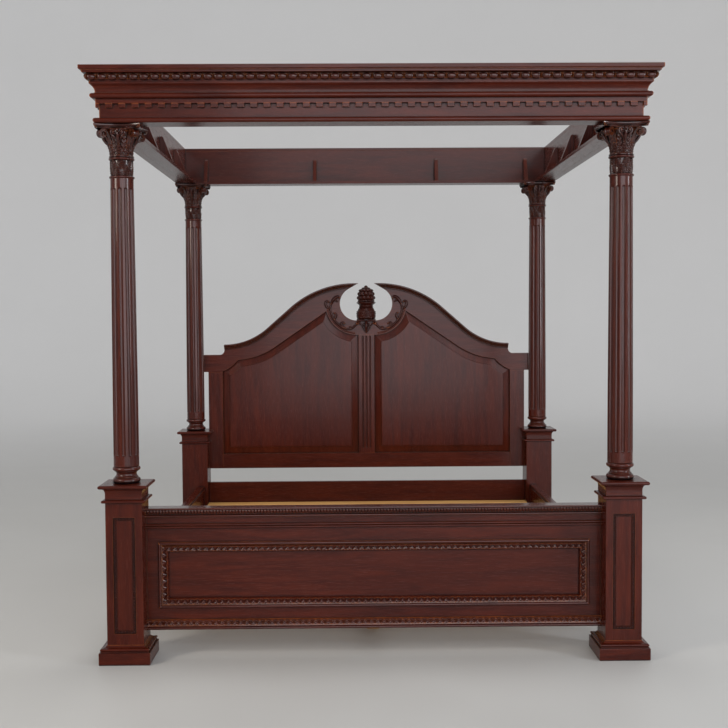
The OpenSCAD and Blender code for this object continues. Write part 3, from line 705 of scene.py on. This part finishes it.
def make_posts():
    column_low, column_high = span("front_left_column")
    height = column_high[2] - COLUMN_TENON - column_low[2]
    column, drum = column_shape(height), drum_shape(height)
    capital_low, capital_high = (c[2] for c in span("front_left_capital"))
    capital = capital_shape(capital_high - capital_low)
    for end in ENDS:
        for side in SIDES:
            post = f"{end}_{side}"
            low, high = span(post + "_pedestal")
            centre, core = (low + high) / 2, (high[0] - low[0]) / 2
            plinth_low, plinth_high = span(post + "_plinth")
            make_plinth(post + "_plinth", centre, plinth_low[2], plinth_high[2], core)
            recess = None
            if end == "front":
                panel_low, panel_high = span(side + "_pedestal_moulding")
                recess = ((panel_high[0] - panel_low[0]) / 2, panel_low[2], panel_high[2])
                make_pedestal_beads(side + "_pedestal_moulding", centre[0], centre[1] - core)
            make_pedestal(post + "_pedestal", centre, low[2], high[2], core, recess)
            cap_low, cap_high = span(post + "_cap")
            make_cap(post + "_cap", centre, cap_low[2], cap_high[2], core)
            foot, neck = (centre[0], centre[1], cap_high[2]), (centre[0], centre[1], capital_low)
            remake(post + "_column", "fluted", column.placed(0, foot), FLUTED, 50)
            piece(post + "_column_drum", drum.placed(0, foot), CARVED["z"], [], 45)
            carved(post + "_capital", capital.placed(0, neck), CARVED["z"], 45)


# ---- Canopy ----

EGG_PITCH, DENTILS, DENTIL_SHARE = 43.0, 42, 0.53
SOFFIT_OUT, BOARD_THICK = 52.0, 16.0
FRIEZE_OUT, DENTIL_OUT, DENTIL_LOW, DENTIL_TOP = 73.5, 86.0, 61.5, 79.0
# Where the egg band is cut across, as shares of the pitch: closest together at the darts.
EGG_STATIONS = (0.0, 0.022, 0.045, 0.075, 0.12, 0.19, 0.28, 0.39,
                0.5, 0.61, 0.72, 0.81, 0.88, 0.925, 0.955, 0.978)


def cornice_outline(over, board):
    """The moulding's section as (out, up) points, from the soffit's edge up its outer face."""
    return ([(SOFFIT_OUT, 0), (88, 0)] + arc(over - 56, 10, 10, -80, 80, 12)
            + [(over - 60, 20.4), (FRIEZE_OUT, 20.6), (FRIEZE_OUT, 77.5), (DENTIL_OUT - 1.5, 77.5),
               (DENTIL_OUT, 78.5), (DENTIL_OUT, 96)]
            + arc(over - 47, 108, 10.5, -86, 86, 14)
            + [(over - 52, 119.5), (over - 52, 121.5), (over - 55, 122)]
            + arc(over - 19, 122, 36, 180, 122, 12)
            + [(over - 37, 154.5), (over - 35, 155.5), (over - 35, 161.0), (over - 37, 162.5),
               (over - 37, 165)]
            + arc(over - 42, 184, 13, -70, 50, 8)
            + [(over - 26, 194.5), (over - 14, 195.2), (over - 11, 196.6), (over - 10.4, 202.6),
               (over - 8.5, 203.6), (over - 7.5, board), (SOFFIT_OUT, board)])


def egg_section(over, u):
    """The egg and dart band: u runs from -1 to 1 across an egg, with half a dart at each end."""
    ring = []
    for a in np.linspace(-84, 40, 20):
        w = (a + 24) / 50
        swell = max(0.0, 1 - abs(u / 0.86) ** 2.6 - abs(w) ** 2.6) ** 0.5
        dart = 0.62 * exp(-((1 - abs(u)) / 0.10) ** 2) * max(0.0, 1 - w * w) ** 0.5
        rim = 0.66 * exp(-((w - 1.08) / 0.16) ** 2) * (0.5 + 0.5 * cos(6 * pi * u))
        ring.append(polar(11.6 + 11.0 * max(swell, dart, rim), a, over - 41, 185))
    return ring + [(over - 34, 195.4), (over - 46, 195.4), (over - 46, 172)]


def make_dentil(shape, at, ways, half, x0, x1):
    """One flat tab that hangs over the frieze, with eased edges."""
    def section(x):
        ease = 0.9 if x in (x0, x1) else 0.0
        back, out, low = FRIEZE_OUT - 1, DENTIL_OUT - ease, DENTIL_LOW + ease
        return soften([(back, low), (out, low), (out, DENTIL_TOP), (back, DENTIL_TOP)], 1.2, 2)

    run(shape, at, ways, half, (x0, x0 + 0.9, x1 - 0.9, x1), section)


def make_canopy():
    """Each side is drawn with its outer face towards -Y and turned into place."""
    low, high = span("front_cornice")
    post_low, post_high = span("front_left_column")
    px, py = -(post_low[:2] + post_high[:2]) / 2
    over, base = -low[1] - py, low[2]
    board = high[2] - base - BOARD_THICK
    body = cornice_outline(over, board)
    top = board + BOARD_THICK
    lid = soften([(SOFFIT_OUT, board), (over - 2, board - 1.5), (over, board + 1), (over, top),
                  (SOFFIT_OUT, top)], 1.6)
    for name, turn, half, reach in (("front", 0, px, py), ("rear", 180, px, py), ("left", -90, py, px),
                                    ("right", 90, py, px)):
        side, eggs = Shape(), Shape()
        at, ways = (0, -reach, base), (X, FRONT, Z)
        far = half + 2 * over
        for outline in (body, lid):
            run(side, at, ways, half, (-far, far), lambda x: outline)
        egg_half = half + over - 24
        count = round(2 * egg_half / EGG_PITCH)
        pitch = 2 * egg_half / count
        stations = [-egg_half + (i + t) * pitch for i in range(-1, count + 1) for t in EGG_STATIONS]
        run(eggs, at, ways, half, stations,
            lambda x: egg_section(over, 2 * (((x + egg_half) / pitch) % 1) - 1))
        tab_half = half + DENTIL_OUT
        tab_pitch = 2 * tab_half / DENTILS
        tab = tab_pitch * DENTIL_SHARE / 2
        for i in range(DENTILS + 1):
            x = -tab_half + i * tab_pitch
            make_dentil(side, at, ways, half, x - tab, x + tab)
        grain = "x" if name in ENDS else "y"
        remake(name + "_cornice", "moulded", side.placed(-turn), WOOD[grain])
        piece(name + "_cornice_eggs", eggs.placed(-turn), CARVED[grain])
        dress(name + "_soffit", WOOD[grain], 1.5)
    dress("canopy_gussets", WOOD["z"], 1.2)


# ---- Headboard ----

# Centres and radii of the outline's arcs are the CAD's own: the lobe is the round cut-out, the corner and the
# sweep bound the panel's top, and the crown runs over two arcs, low at its outer end and flat at its tip.
HEAD = {node: span("headboard_" + node) for node in ("top_rail", "centre_stile", "left_panel", "finial")}
HEAD_FACE, HEAD_TOP = HEAD["top_rail"][0][1], HEAD["top_rail"][1][2]
OPEN_X, OPEN_LOW = -HEAD["left_panel"][0][0], HEAD["left_panel"][0][2]
MULLION = HEAD["centre_stile"][1][0]
LOBE_R, LOBE = 103.0, (-57.5, HEAD_TOP - 124.5)
PANEL_ARC, CORNER_R, CORNER = 191.0, 196.0, (-947.4, 1293.5)
SWEEP_R, SWEEP, SLOPE = 430.0, (-808.0, 1608.0), 34.4
BEVEL = 43.0
CROWN_X, CROWN_LOW, CROWN_FLAT, TIP = 868.0, 1272.0, 75.0, 47.0
CROWN_R = (399.0, 588.0)
FINIAL_HIGH = 205.0


def bearing(point, centre):
    """The angle in degrees at which a point lies from a centre."""
    return degrees(atan2(point[1] - centre[1], point[0] - centre[0]))


def panel_outline(d):
    """The left panel's outline, drawn in by d: straight sides, a round bite, a sloped and swept top."""
    left, right, low = -OPEN_X + d, -MULLION - d, OPEN_LOW + d
    bite, corner, sweep = PANEL_ARC + d, CORNER_R + d, SWEEP_R + d
    slope_way = np.array(polar(1, SLOPE))
    start = np.array(polar(sweep, SLOPE - 90, *SWEEP))
    gap = start - np.array(LOBE)
    b = float(gap @ slope_way)
    meet = start + slope_way * (-b - sqrt(b * b - float(gap @ gap) + bite ** 2))
    a0 = -degrees(acos((right - LOBE[0]) / bite))
    a1 = bearing(meet, LOBE)
    between = np.array(SWEEP) - np.array(CORNER)
    apart = float(np.linalg.norm(between))
    near = (corner ** 2 - sweep ** 2 + apart ** 2) / (2 * apart)
    aside = sqrt(corner ** 2 - near ** 2)
    joint = np.array(CORNER) + (between * near + np.array([between[1], -between[0]]) * aside) / apart
    c1 = -degrees(acos((left - CORNER[0]) / corner))
    return ([(left, low), (right, low)] + arc(*LOBE, bite, a0, a1, 22)
            + arc(*SWEEP, sweep, SLOPE - 90, bearing(joint, SWEEP), 10)
            + arc(*CORNER, corner, bearing(joint, CORNER), c1, 10))


def on_side(shape, side):
    """Headboard shapes are drawn for the left; the right ones are their mirror images."""
    return shape.placed(0, (0, 0, 0), side == "right")


def make_headboard_panel(side):
    """A raised field inside a wide bevel that falls to a dark groove."""
    field, groove, back = HEAD_FACE + 4, HEAD_FACE + 18, HEAD["left_panel"][1][1]
    section = [(-3, back), (-3, groove), (1.2, groove), (2.2, groove - 0.5), (BEVEL - 1.4, field + 5.0),
               (BEVEL - 0.6, field + 4.6), (BEVEL, field + 1.4), (BEVEL + 0.6, field + 0.4),
               (BEVEL + 2, field), (BEVEL + 14, field)]
    shape = Shape([[(x, y, z) for x, z in panel_outline(d)] for d, y in section])
    remake(f"headboard_{side}_panel", "fielded", on_side(shape, side), WOOD["z"])


def crown_line():
    """Points, outward normals and distances along the left half of the crown line."""
    low_r, high_r = CROWN_R
    rise, reach = HEAD_TOP - CROWN_LOW - low_r - high_r, CROWN_X - CROWN_FLAT
    between = hypot(reach, rise)
    angle = degrees(atan2(rise, reach) + atan2(low_r + high_r, sqrt(between ** 2 - (low_r + high_r) ** 2)))
    made = []
    for a in np.arange(-90, angle - 90, 0.28):
        normal = polar(1, a)
        made.append((*polar(low_r, a, -CROWN_X, CROWN_LOW + low_r), -normal[0], -normal[1]))
    centre, tilt = (-CROWN_FLAT, HEAD_TOP - high_r), 90 + angle
    first, last = np.array(made[-1][:2]), np.array(polar(high_r, tilt, *centre))
    made += [(*(first + (last - first) * share), *polar(1, tilt)) for share in np.linspace(0, 1, 96)[1:-1]]
    made += [(*polar(high_r, a, *centre), *polar(1, a)) for a in np.arange(tilt, 90, -0.19)]
    made += [(x, HEAD_TOP, 0.0, 1.0) for x in np.linspace(-CROWN_FLAT, -TIP, 14)]
    made = np.array(made)
    steps = np.linalg.norm(np.diff(made[:, :2], axis=0), axis=1)
    return made, np.concatenate([[0], np.cumsum(steps)])


def make_crown(side):
    """A plain rounded lip over a band of upright cuts; both thin out where the round cut-out meets them."""
    line, travel = crown_line()
    to_tip = np.array([-TIP - LOBE[0], HEAD_TOP - LOBE[1]])
    touch = atan2(to_tip[1], to_tip[0]) + acos(LOBE_R / np.linalg.norm(to_tip))
    tip_side = np.array([cos(touch), sin(touch)])
    rings = []
    for (x, z, nx, nz), s in zip(line, travel):
        deepest = 31.0
        gap = np.array([x - LOBE[0], z - LOBE[1]])
        b = float(gap @ (nx, nz))
        under = b * b - float(gap @ gap) + (LOBE_R + 0.4) ** 2
        if under > 0 and b - sqrt(under) > 0:
            deepest = min(deepest, b - sqrt(under))
        facing = float(tip_side @ (nx, nz))
        if facing > 0:
            deepest = min(deepest, max(float(tip_side @ (x + TIP, z - HEAD_TOP)) / facing, 0.2))
        cut = 3.4 * ticks(s / 19.5)
        section = ([(0, -1), (0, 20), (0.4, 24.5), (1.6, 27.0), (3.8, 28)] + arc(5.5, 20.5, 7.5, 78, 0, 6)
                   + [(12.8, 18.2), (13.6, 17.4), (14.2, 13.2 + cut), (17, 12.8 + cut), (20.5, 11.2 + cut),
                      (23.6, 8.8 + cut), (24.6, 8.4), (25.6, 9.4), (27.8, 9.6), (29.4, 8.4), (30.2, 6.0),
                      (30.2, -1)])
        section = [(min(d, deepest), p) for d, p in section]
        rings.append([(x - nx * d, HEAD_FACE - p, z - nz * d) for d, p in section])
    carved(f"headboard_{side}_crown", on_side(Shape(rings), side), CARVED["x"], 50)


def on_lobe(points, depth):
    """Turns (radius, angle) points round the left cut-out into places depth behind the headboard's face."""
    flat = [polar(r, a, *LOBE) for r, a in points]
    return [(x, HEAD_FACE - depth, z) for x, z in flat]


# Each leaf of the spray is a path of (radius, angle) points round the cut-out, and its half-widths along it.
SCROLL_STEM = (((120, -84), (123, -90), (141, -96.5), (158, -103), (166, -112), (169, -122), (169, -133),
                (169, -146), (167, -160), (163, -172), (156, -180)),
               (7.5, 8.0, 6.5, 6.2, 6.0, 6.4, 6.6, 6.4, 6.2, 6.6, 6.5))
SCROLL_SPRAYS = (
    (((156, -179), (146, -188), (135, -195.5), (122, -200.5), (108, -198)), (6.5, 10.5, 10.5, 8.5, 4.5)),
    (((137, -192), (126, -188), (114, -186)), (6.5, 6.5, 3.5)),
    (((166, -171), (177, -171), (187, -176), (190, -182), (180, -185), (169, -183)),
     (4.5, 7.5, 8.5, 8.0, 6.5, 4.0)),
    (((172, -144), (162, -146), (148, -149), (143, -155), (151, -158)), (4.5, 7.5, 8.0, 6.5, 4.0)),
    (((166, -113), (164, -121), (154, -128), (143, -127), (143, -121)), (4.5, 7.5, 7.5, 6.5, 4.5)),
    (((160, -103), (150, -107), (143, -103)), (4.5, 5.5, 3.0)),
)
# Berries: radius and angle round the cut-out, and the berry's own radius.
SCROLL_BERRIES = ((121, -88, 9.0), (109, -197.5, 6.5), (144, -122, 6.0), (150, -157, 5.5), (170, -183, 5.5))


def make_scroll(side):
    """The spray of leaves that follows the cut-out, and the bead along the rail's edge below it."""
    bead, shape = Shape(), Shape()
    bead.cord(on_lobe([(180.5, a) for a in np.linspace(-93.5, -169.5, 48)], -0.6), [5.4, 5.4], 12)
    piece(f"headboard_{side}_bead", on_side(bead, side), WOOD["x"])
    for depth, leaves in ((1.4, (SCROLL_STEM,)), (1.2, SCROLL_SPRAYS)):
        for path, radii in leaves:
            shape.cord(on_lobe(smooth_path(path), depth), radii, 10)
    for r, a, size in SCROLL_BERRIES:
        shape.dome(on_lobe([(r, a)], 1.5)[0], size, 14, 5)
    carved(f"headboard_{side}_scroll", on_side(shape, side), WAXED["x"], 60)


def make_leaf_drop():
    """A pointed leaf with hollow sides under the finial, with a long drop on its rib and two folded wings."""
    top = high_of("headboard_leaf_drop")[2]
    edge = smooth_path([(57, 0), (58, -10), (50, -21), (38, -31), (27, -46), (17, -65), (8, -80),
                        (0.6, -88)], 4)
    outline = [tuple(p) for p in edge] + [(-x, z) for x, z in edge[::-1]]
    shape = Shape()

    def shrunk(points, out, size):
        return [(x * size, HEAD_FACE - out, top - 20 + (z + 20) * size) for x, z in points]

    def strand(points, radii, sides):
        shape.cord([(x, HEAD_FACE - out, top + z) for x, out, z in points], radii, sides)

    shape.loft([shrunk(outline, *level) for level in ((-1, 1.0), (4.5, 1.0), (6.5, 0.96), (7.2, 0.88))])
    strand([(0, 7, -8), (0, 11, -22), (0, 13, -40), (0, 12, -56), (0, 7, -70), (0, 3, -84)],
           [3.0, 6.5, 9.0, 9.5, 5.5, 1.5], 12)
    wing = smooth_path([(6, 8, -16), (20, 12, -8), (36, 12, -9), (49, 9, -18), (44, 8, -27)], 5)
    fold = smooth_path([(7, 8, -24), (17, 10, -34), (14, 9, -48)])
    for sign in (-1, 1):
        shape.cord(shrunk([(sign * x, z) for x, z in edge[4:-1]], 7, 0.93), [4.6, 4.4, 3.8, 3.2, 2.2], 10)
        strand(wing * (sign, 1, 1), [3.5, 6.5, 7.5, 6.0, 3.0], 10)
        strand(fold * (sign, 1, 1), [2.5, 4.8, 1.8], 8)
    carved("headboard_leaf_drop", shape, WAXED["z"], 60)


def make_finial():
    """A leaf-wrapped urn, a ringed neck, a flared collar and a bud of rounded scales."""
    low, high = HEAD["finial"]
    shape = Shape()
    urn = smooth_path([(50, 0), (55, 5), (56.5, 16), (56.5, 34), (54, 50), (49, 62), (42, 71)], 5)
    carved_bell(shape, [(r - 2.5, z) for r, z in urn],
                [(6, 0.0, -14, 46, 4.2, 1.5), (6, 0.5, 4, 70, 4.0, 0.5)], 240, 60)
    shape.lathe([(20, 66), (43, 69), (44.5, 71), (44.5, 73.5), (42, 75), (41, 77.5), (42.5, 79.5), (42.5, 81),
                 (41.5, 82.5)] + bend((42, 84), (46, 88), (55.5, 94.5), 8)
                + [(57.4, 95.6), (58.2, 97.4), (58.2, 100), (57.2, 101.6), (50, 102.4), (20, 103)])
    bud = smooth_path([(42, 102), (45.5, 108), (47.5, 122), (47.5, 138), (45, 155), (39.5, 169), (30, 181),
                       (18, 190), (8, 194)], 10)
    around, rows, per_row = 200, 5, 10
    sector = turn_angles(around) * per_row / (2 * np.pi)
    rings = []
    for (r, z), t in zip(bud, np.linspace(0, 1, len(bud))):
        row = min(t * rows, rows - 1e-6)
        u = np.abs((sector + 0.5 * (int(row) % 2)) % 1 - 0.5) * 2
        lift = 9.6 * (np.cos(u * np.pi / 2) * sin(pi * (row % 1))) ** 0.7 * min(1, r / 24)
        rings.append(level_ring(r + lift, z, around))
    shape.loft(rings)
    shape.dome((0, 0, 193), 11.8, 16, 6)
    at = (0, (low[1] + high[1]) / 2, high[2] - FINIAL_HIGH)
    carved("headboard_finial", shape.placed(0, at), WAXED["z"], 55)


def make_centre_stile():
    """A plain upright with three round-ended flutes on its face."""
    low, high = HEAD["centre_stile"]
    flute = 6.2
    z0, z1 = low[2] + 38, high[2] - 12
    ends = [(e, sqrt(flute ** 2 - e ** 2)) for e in (6.15, 5.9, 5.5, 4.6, 3.2, 1.6)]
    levels = ([(low[2], 0.02)] + [(z0 - e, half) for e, half in ends]
              + [(z, flute) for z in np.linspace(z0, z1, 4)]
              + [(z1 + e, half) for e, half in ends[::-1]] + [(high[2], 0.02)])
    edge = [(low[0], high[1]), (low[0], low[1] + 1.4), (low[0] + 0.4, low[1] + 0.4), (low[0] + 1.4, low[1])]
    rings = []
    for z, half in levels:
        ring = edge + [p for x in (-22, 0, 22) for p in arc(x, low[1], half, 180, 0, 8)]
        ring += [(-x, y) for x, y in edge[::-1]]
        rings.append([(x, y, z) for x, y in ring])
    remake("headboard_centre_stile", "fluted", Shape(rings), WOOD["z"])


def make_headboard():
    for side in SIDES:
        make_headboard_panel(side)
        make_crown(side)
        make_scroll(side)
        dress(f"headboard_{side}_stile", WOOD["z"], 1.6)
    make_leaf_drop()
    make_finial()
    make_centre_stile()
    for node in ("headboard_top_rail", "headboard_bottom_rail", "head_rail"):
        dress(node, WOOD["x"], 1.6)


# ---- Footboard ----

LEAF_PITCH, LEAF_CUTS = 26.6, 16
FOOT_FACE = span("footboard_frame")[0][1]


def make_panel_moulding():
    """A bead and a quirk outside a band of interlocking leaf points, mitred at the corners."""
    low, high = span("footboard_panel_moulding")
    middle = np.array([0, FOOT_FACE, (low[2] + high[2]) / 2])
    wide = 43.0
    shape = Shape()
    for way, out, half, reach in frame_sides(high[0] - wide, (high[2] - low[2]) / 2 - wide):
        stations, pitch = steps_along(half, LEAF_PITCH, LEAF_CUTS)
        past = np.arange(1, 28) * pitch / LEAF_CUTS
        stations = np.concatenate([stations[0] - past[::-1], stations, stations[-1] + past])

        def section(x):
            u = (x + half) / pitch + 0.5
            band = [(1.5 + 23.5 * t, 1.0 + t + 8.6 * leaf_and_dart(u, t)) for t in np.linspace(1, 0, 15)]
            return ([(wide, -0.5), (wide, 3.0)] + arc(36.8, 7.5, 6.0, -48, 232, 16)
                    + [(31.5, 1.6), (28.0, 0.8)] + band + [(0, -2), (0, -8.5), (3, -8.5), (26, -0.5)])

        run(shape, middle + out * reach, (way, out, FRONT), half, stations, section)
    carved("footboard_panel_moulding", shape, WORN_AND_LIT_EDGE, 50)


def carved_length(node, z, pitch, cuts, outline):
    """Carves outline(u) along the footboard's front at height z; u counts the pattern's repeats."""
    half = high_of(node)[0]
    stations, true_pitch = steps_along(half, pitch, cuts)
    shape = Shape()
    run(shape, (0, FOOT_FACE, z), (X, FRONT, Z), None, stations, lambda x: outline((x + half) / true_pitch))
    return shape


def make_cap_moulding():
    """A board over a leaf-cut ovolo, a quirk and a bead."""
    node = "footboard_cap_moulding"
    half, top = high_of(node)[0], high_of(node)[2]

    def outline(u):
        cut = []
        for v in np.linspace(0, 1, 11):
            out, up = polar(12.4 + 4.6 * small_leaves(u, v), -74 + 70 * v)
            cut.append((6.5 + out, -10.5 + up * 1.15))
        return ([(0, -43), (2.0, -43), (2.2, -41)] + arc(6.0, -36.2, 5.2, -110, 100, 12)
                + [(4.0, -30.2), (4.0, -28)] + cut + [(20.5, -8.6), (22.5, -7.4), (24.4, -6.6)]
                + [(25, -5.6), (25, -1.6), (24.2, -0.4), (22.5, 0), (0, 0)])

    shape = carved_length(node, top, LEAF_PITCH / 2, 10, outline)
    shape.box((-half, FOOT_FACE - 1, top - 5), (half, high_of("footboard_frame")[1], top), 1.4)
    carved(node, shape, WORN_AND_LIT_EDGE, 50)


def make_base_moulding():
    """A row of interlocking leaf points over a quirk and a bead."""
    node = "footboard_base_moulding"

    def outline(u):
        band = [(1.0 + 1.4 * t + 7.2 * leaf_and_dart(u, t), 43 - 22 * t) for t in np.linspace(1, 0, 14)]
        return ([(-0.5, 0), (3.2, 0), (3.4, 1.6)] + arc(7.0, 7.6, 5.2, -116, 116, 14)
                + [(3.4, 13.8), (2.6, 15), (1.4, 19.5)] + band + [(-0.5, 44)])

    carved(node, carved_length(node, span(node)[0][2], LEAF_PITCH, LEAF_CUTS, outline), WORN_AND_LIT_EDGE, 50)


def make_frame_beads():
    """The two fine beads that run along the footboard's top rail."""
    reach = high_of("footboard_cap_moulding")[0]
    shape = Shape()
    for down in (80.5, 70.0):
        z = high_of("footboard_frame")[2] - down
        ring = [(FOOT_FACE - h, z + u) for u, h in arc(0, 0, 5.1, 0, 180, 12)]
        shape.loft([[(x, y, z) for y, z in ring] for x in (-reach, reach)])
    piece("footboard_frame_beads", shape, WOOD["x"])


def make_footboard():
    dress("footboard_frame", WOOD["x"], 1.2)
    dress("footboard_panel", WOOD["x"], 1.0)
    make_panel_moulding()
    make_cap_moulding()
    make_base_moulding()
    make_frame_beads()


# ---- Base and hidden parts ----

def dress_base():
    for side in SIDES:
        dress(side + "_side_rail", WOOD["y"], 2.0)
    dress("rail_cleats", SLAT["y"], 2.0)
    for node, axis in (("slats", "x"), ("centre_beam", "y"), ("centre_legs", "z")):
        dress(node, SLAT[axis], 3.0)
    for node in ("bed_bolts", "post_studs", "canopy_pins"):
        dress(node, STEEL, 0.4)


# ---- Studio ----

# The camera that was solved from the photograph; its place is in metres, its lens for a 36 mm sensor.
CAMERA_AT = (-0.092, -5.715, 1.458)
YAW, PITCH, ROLL = radians(0.650), radians(2.618), radians(-0.359)
LENS = 54.82


def make_camera():
    ahead = Vector((sin(YAW) * cos(PITCH), cos(YAW) * cos(PITCH), -sin(PITCH)))
    right = Vector((cos(YAW), -sin(YAW), 0))
    up = right.cross(ahead)
    right_rolled = right * cos(ROLL) + up * sin(ROLL)
    up_rolled = -right * sin(ROLL) + up * cos(ROLL)
    camera = bpy.data.objects.new("camera", bpy.data.cameras.new("camera"))
    camera.data.lens, camera.data.sensor_width = LENS, 36.0
    turn = Matrix((right_rolled, up_rolled, -ahead)).transposed()
    camera.matrix_world = Matrix.Translation(CAMERA_AT) @ turn.to_4x4()
    bpy.context.scene.collection.objects.link(camera)
    bpy.context.scene.camera = camera


def soft_light(name, at, to, size, power, colour=(1, 1, 1)):
    light = bpy.data.lights.new(name, "AREA")
    light.shape, light.size, light.size_y = "RECTANGLE", size[0], size[1]
    light.energy, light.color = power, colour
    made = bpy.data.objects.new(name, light)
    made.location = at
    made.rotation_euler = (Vector(to) - Vector(at)).to_track_quat("-Z", "Y").to_euler()
    made.visible_camera = False
    bpy.context.scene.collection.objects.link(made)


def make_backdrop():
    """A round floor that sweeps up into a plain wall."""
    section = [(0.05, 0.0)] + arc(9.0, 4.0, 4.0, -90, 0, 16) + [(13.0, 7.0)]
    inside = Shape()
    inside.lathe([(r / MM, z / MM) for r, z in section + [(13.2, 7.0), (13.2, -0.2), (0.05, -0.2)]], 96)
    mesh = bpy.data.meshes.new("backdrop")
    mesh.from_pydata((np.concatenate(inside.points) * MM).tolist(), [], inside.faces)
    mesh.shade_smooth()
    mesh.set_sharp_from_angle(angle=radians(40))
    mesh.materials.append(pale_paper("pale_paper"))
    made = bpy.data.objects.new("backdrop", mesh)
    bpy.context.scene.collection.objects.link(made)


def make_studio():
    make_camera()
    make_backdrop()
    bpy.context.scene.view_settings.view_transform = "Standard"
    world = bpy.data.worlds.new("studio")
    world.use_nodes = True
    world.node_tree.nodes["Background"].inputs[0].default_value = (0.51, 0.52, 0.53, 1)
    world.node_tree.nodes["Background"].inputs[1].default_value = 1.0
    bpy.context.scene.world = world
    soft_light("front_panel", (2.0, -9.0, 2.6), (0.2, 0, 1.5), (7.2, 4.8), 440, (0.92, 0.94, 1.0))
    soft_light("left_key", (-4.4, -3.8, 3.2), (0, -0.4, 1.0), (1.0, 2.2), 105, (1.0, 0.92, 0.82))
    soft_light("right_window", (4.8, -3.2, 2.4), (0, 0, 1.0), (0.6, 2.8), 110, (0.88, 0.93, 1.0))
    soft_light("top", (0.4, 0.6, 5.4), (0, 0, 1.0), (3.0, 3.0), 90)


make_studio()
make_posts()
make_canopy()
make_headboard()
make_footboard()
dress_base()
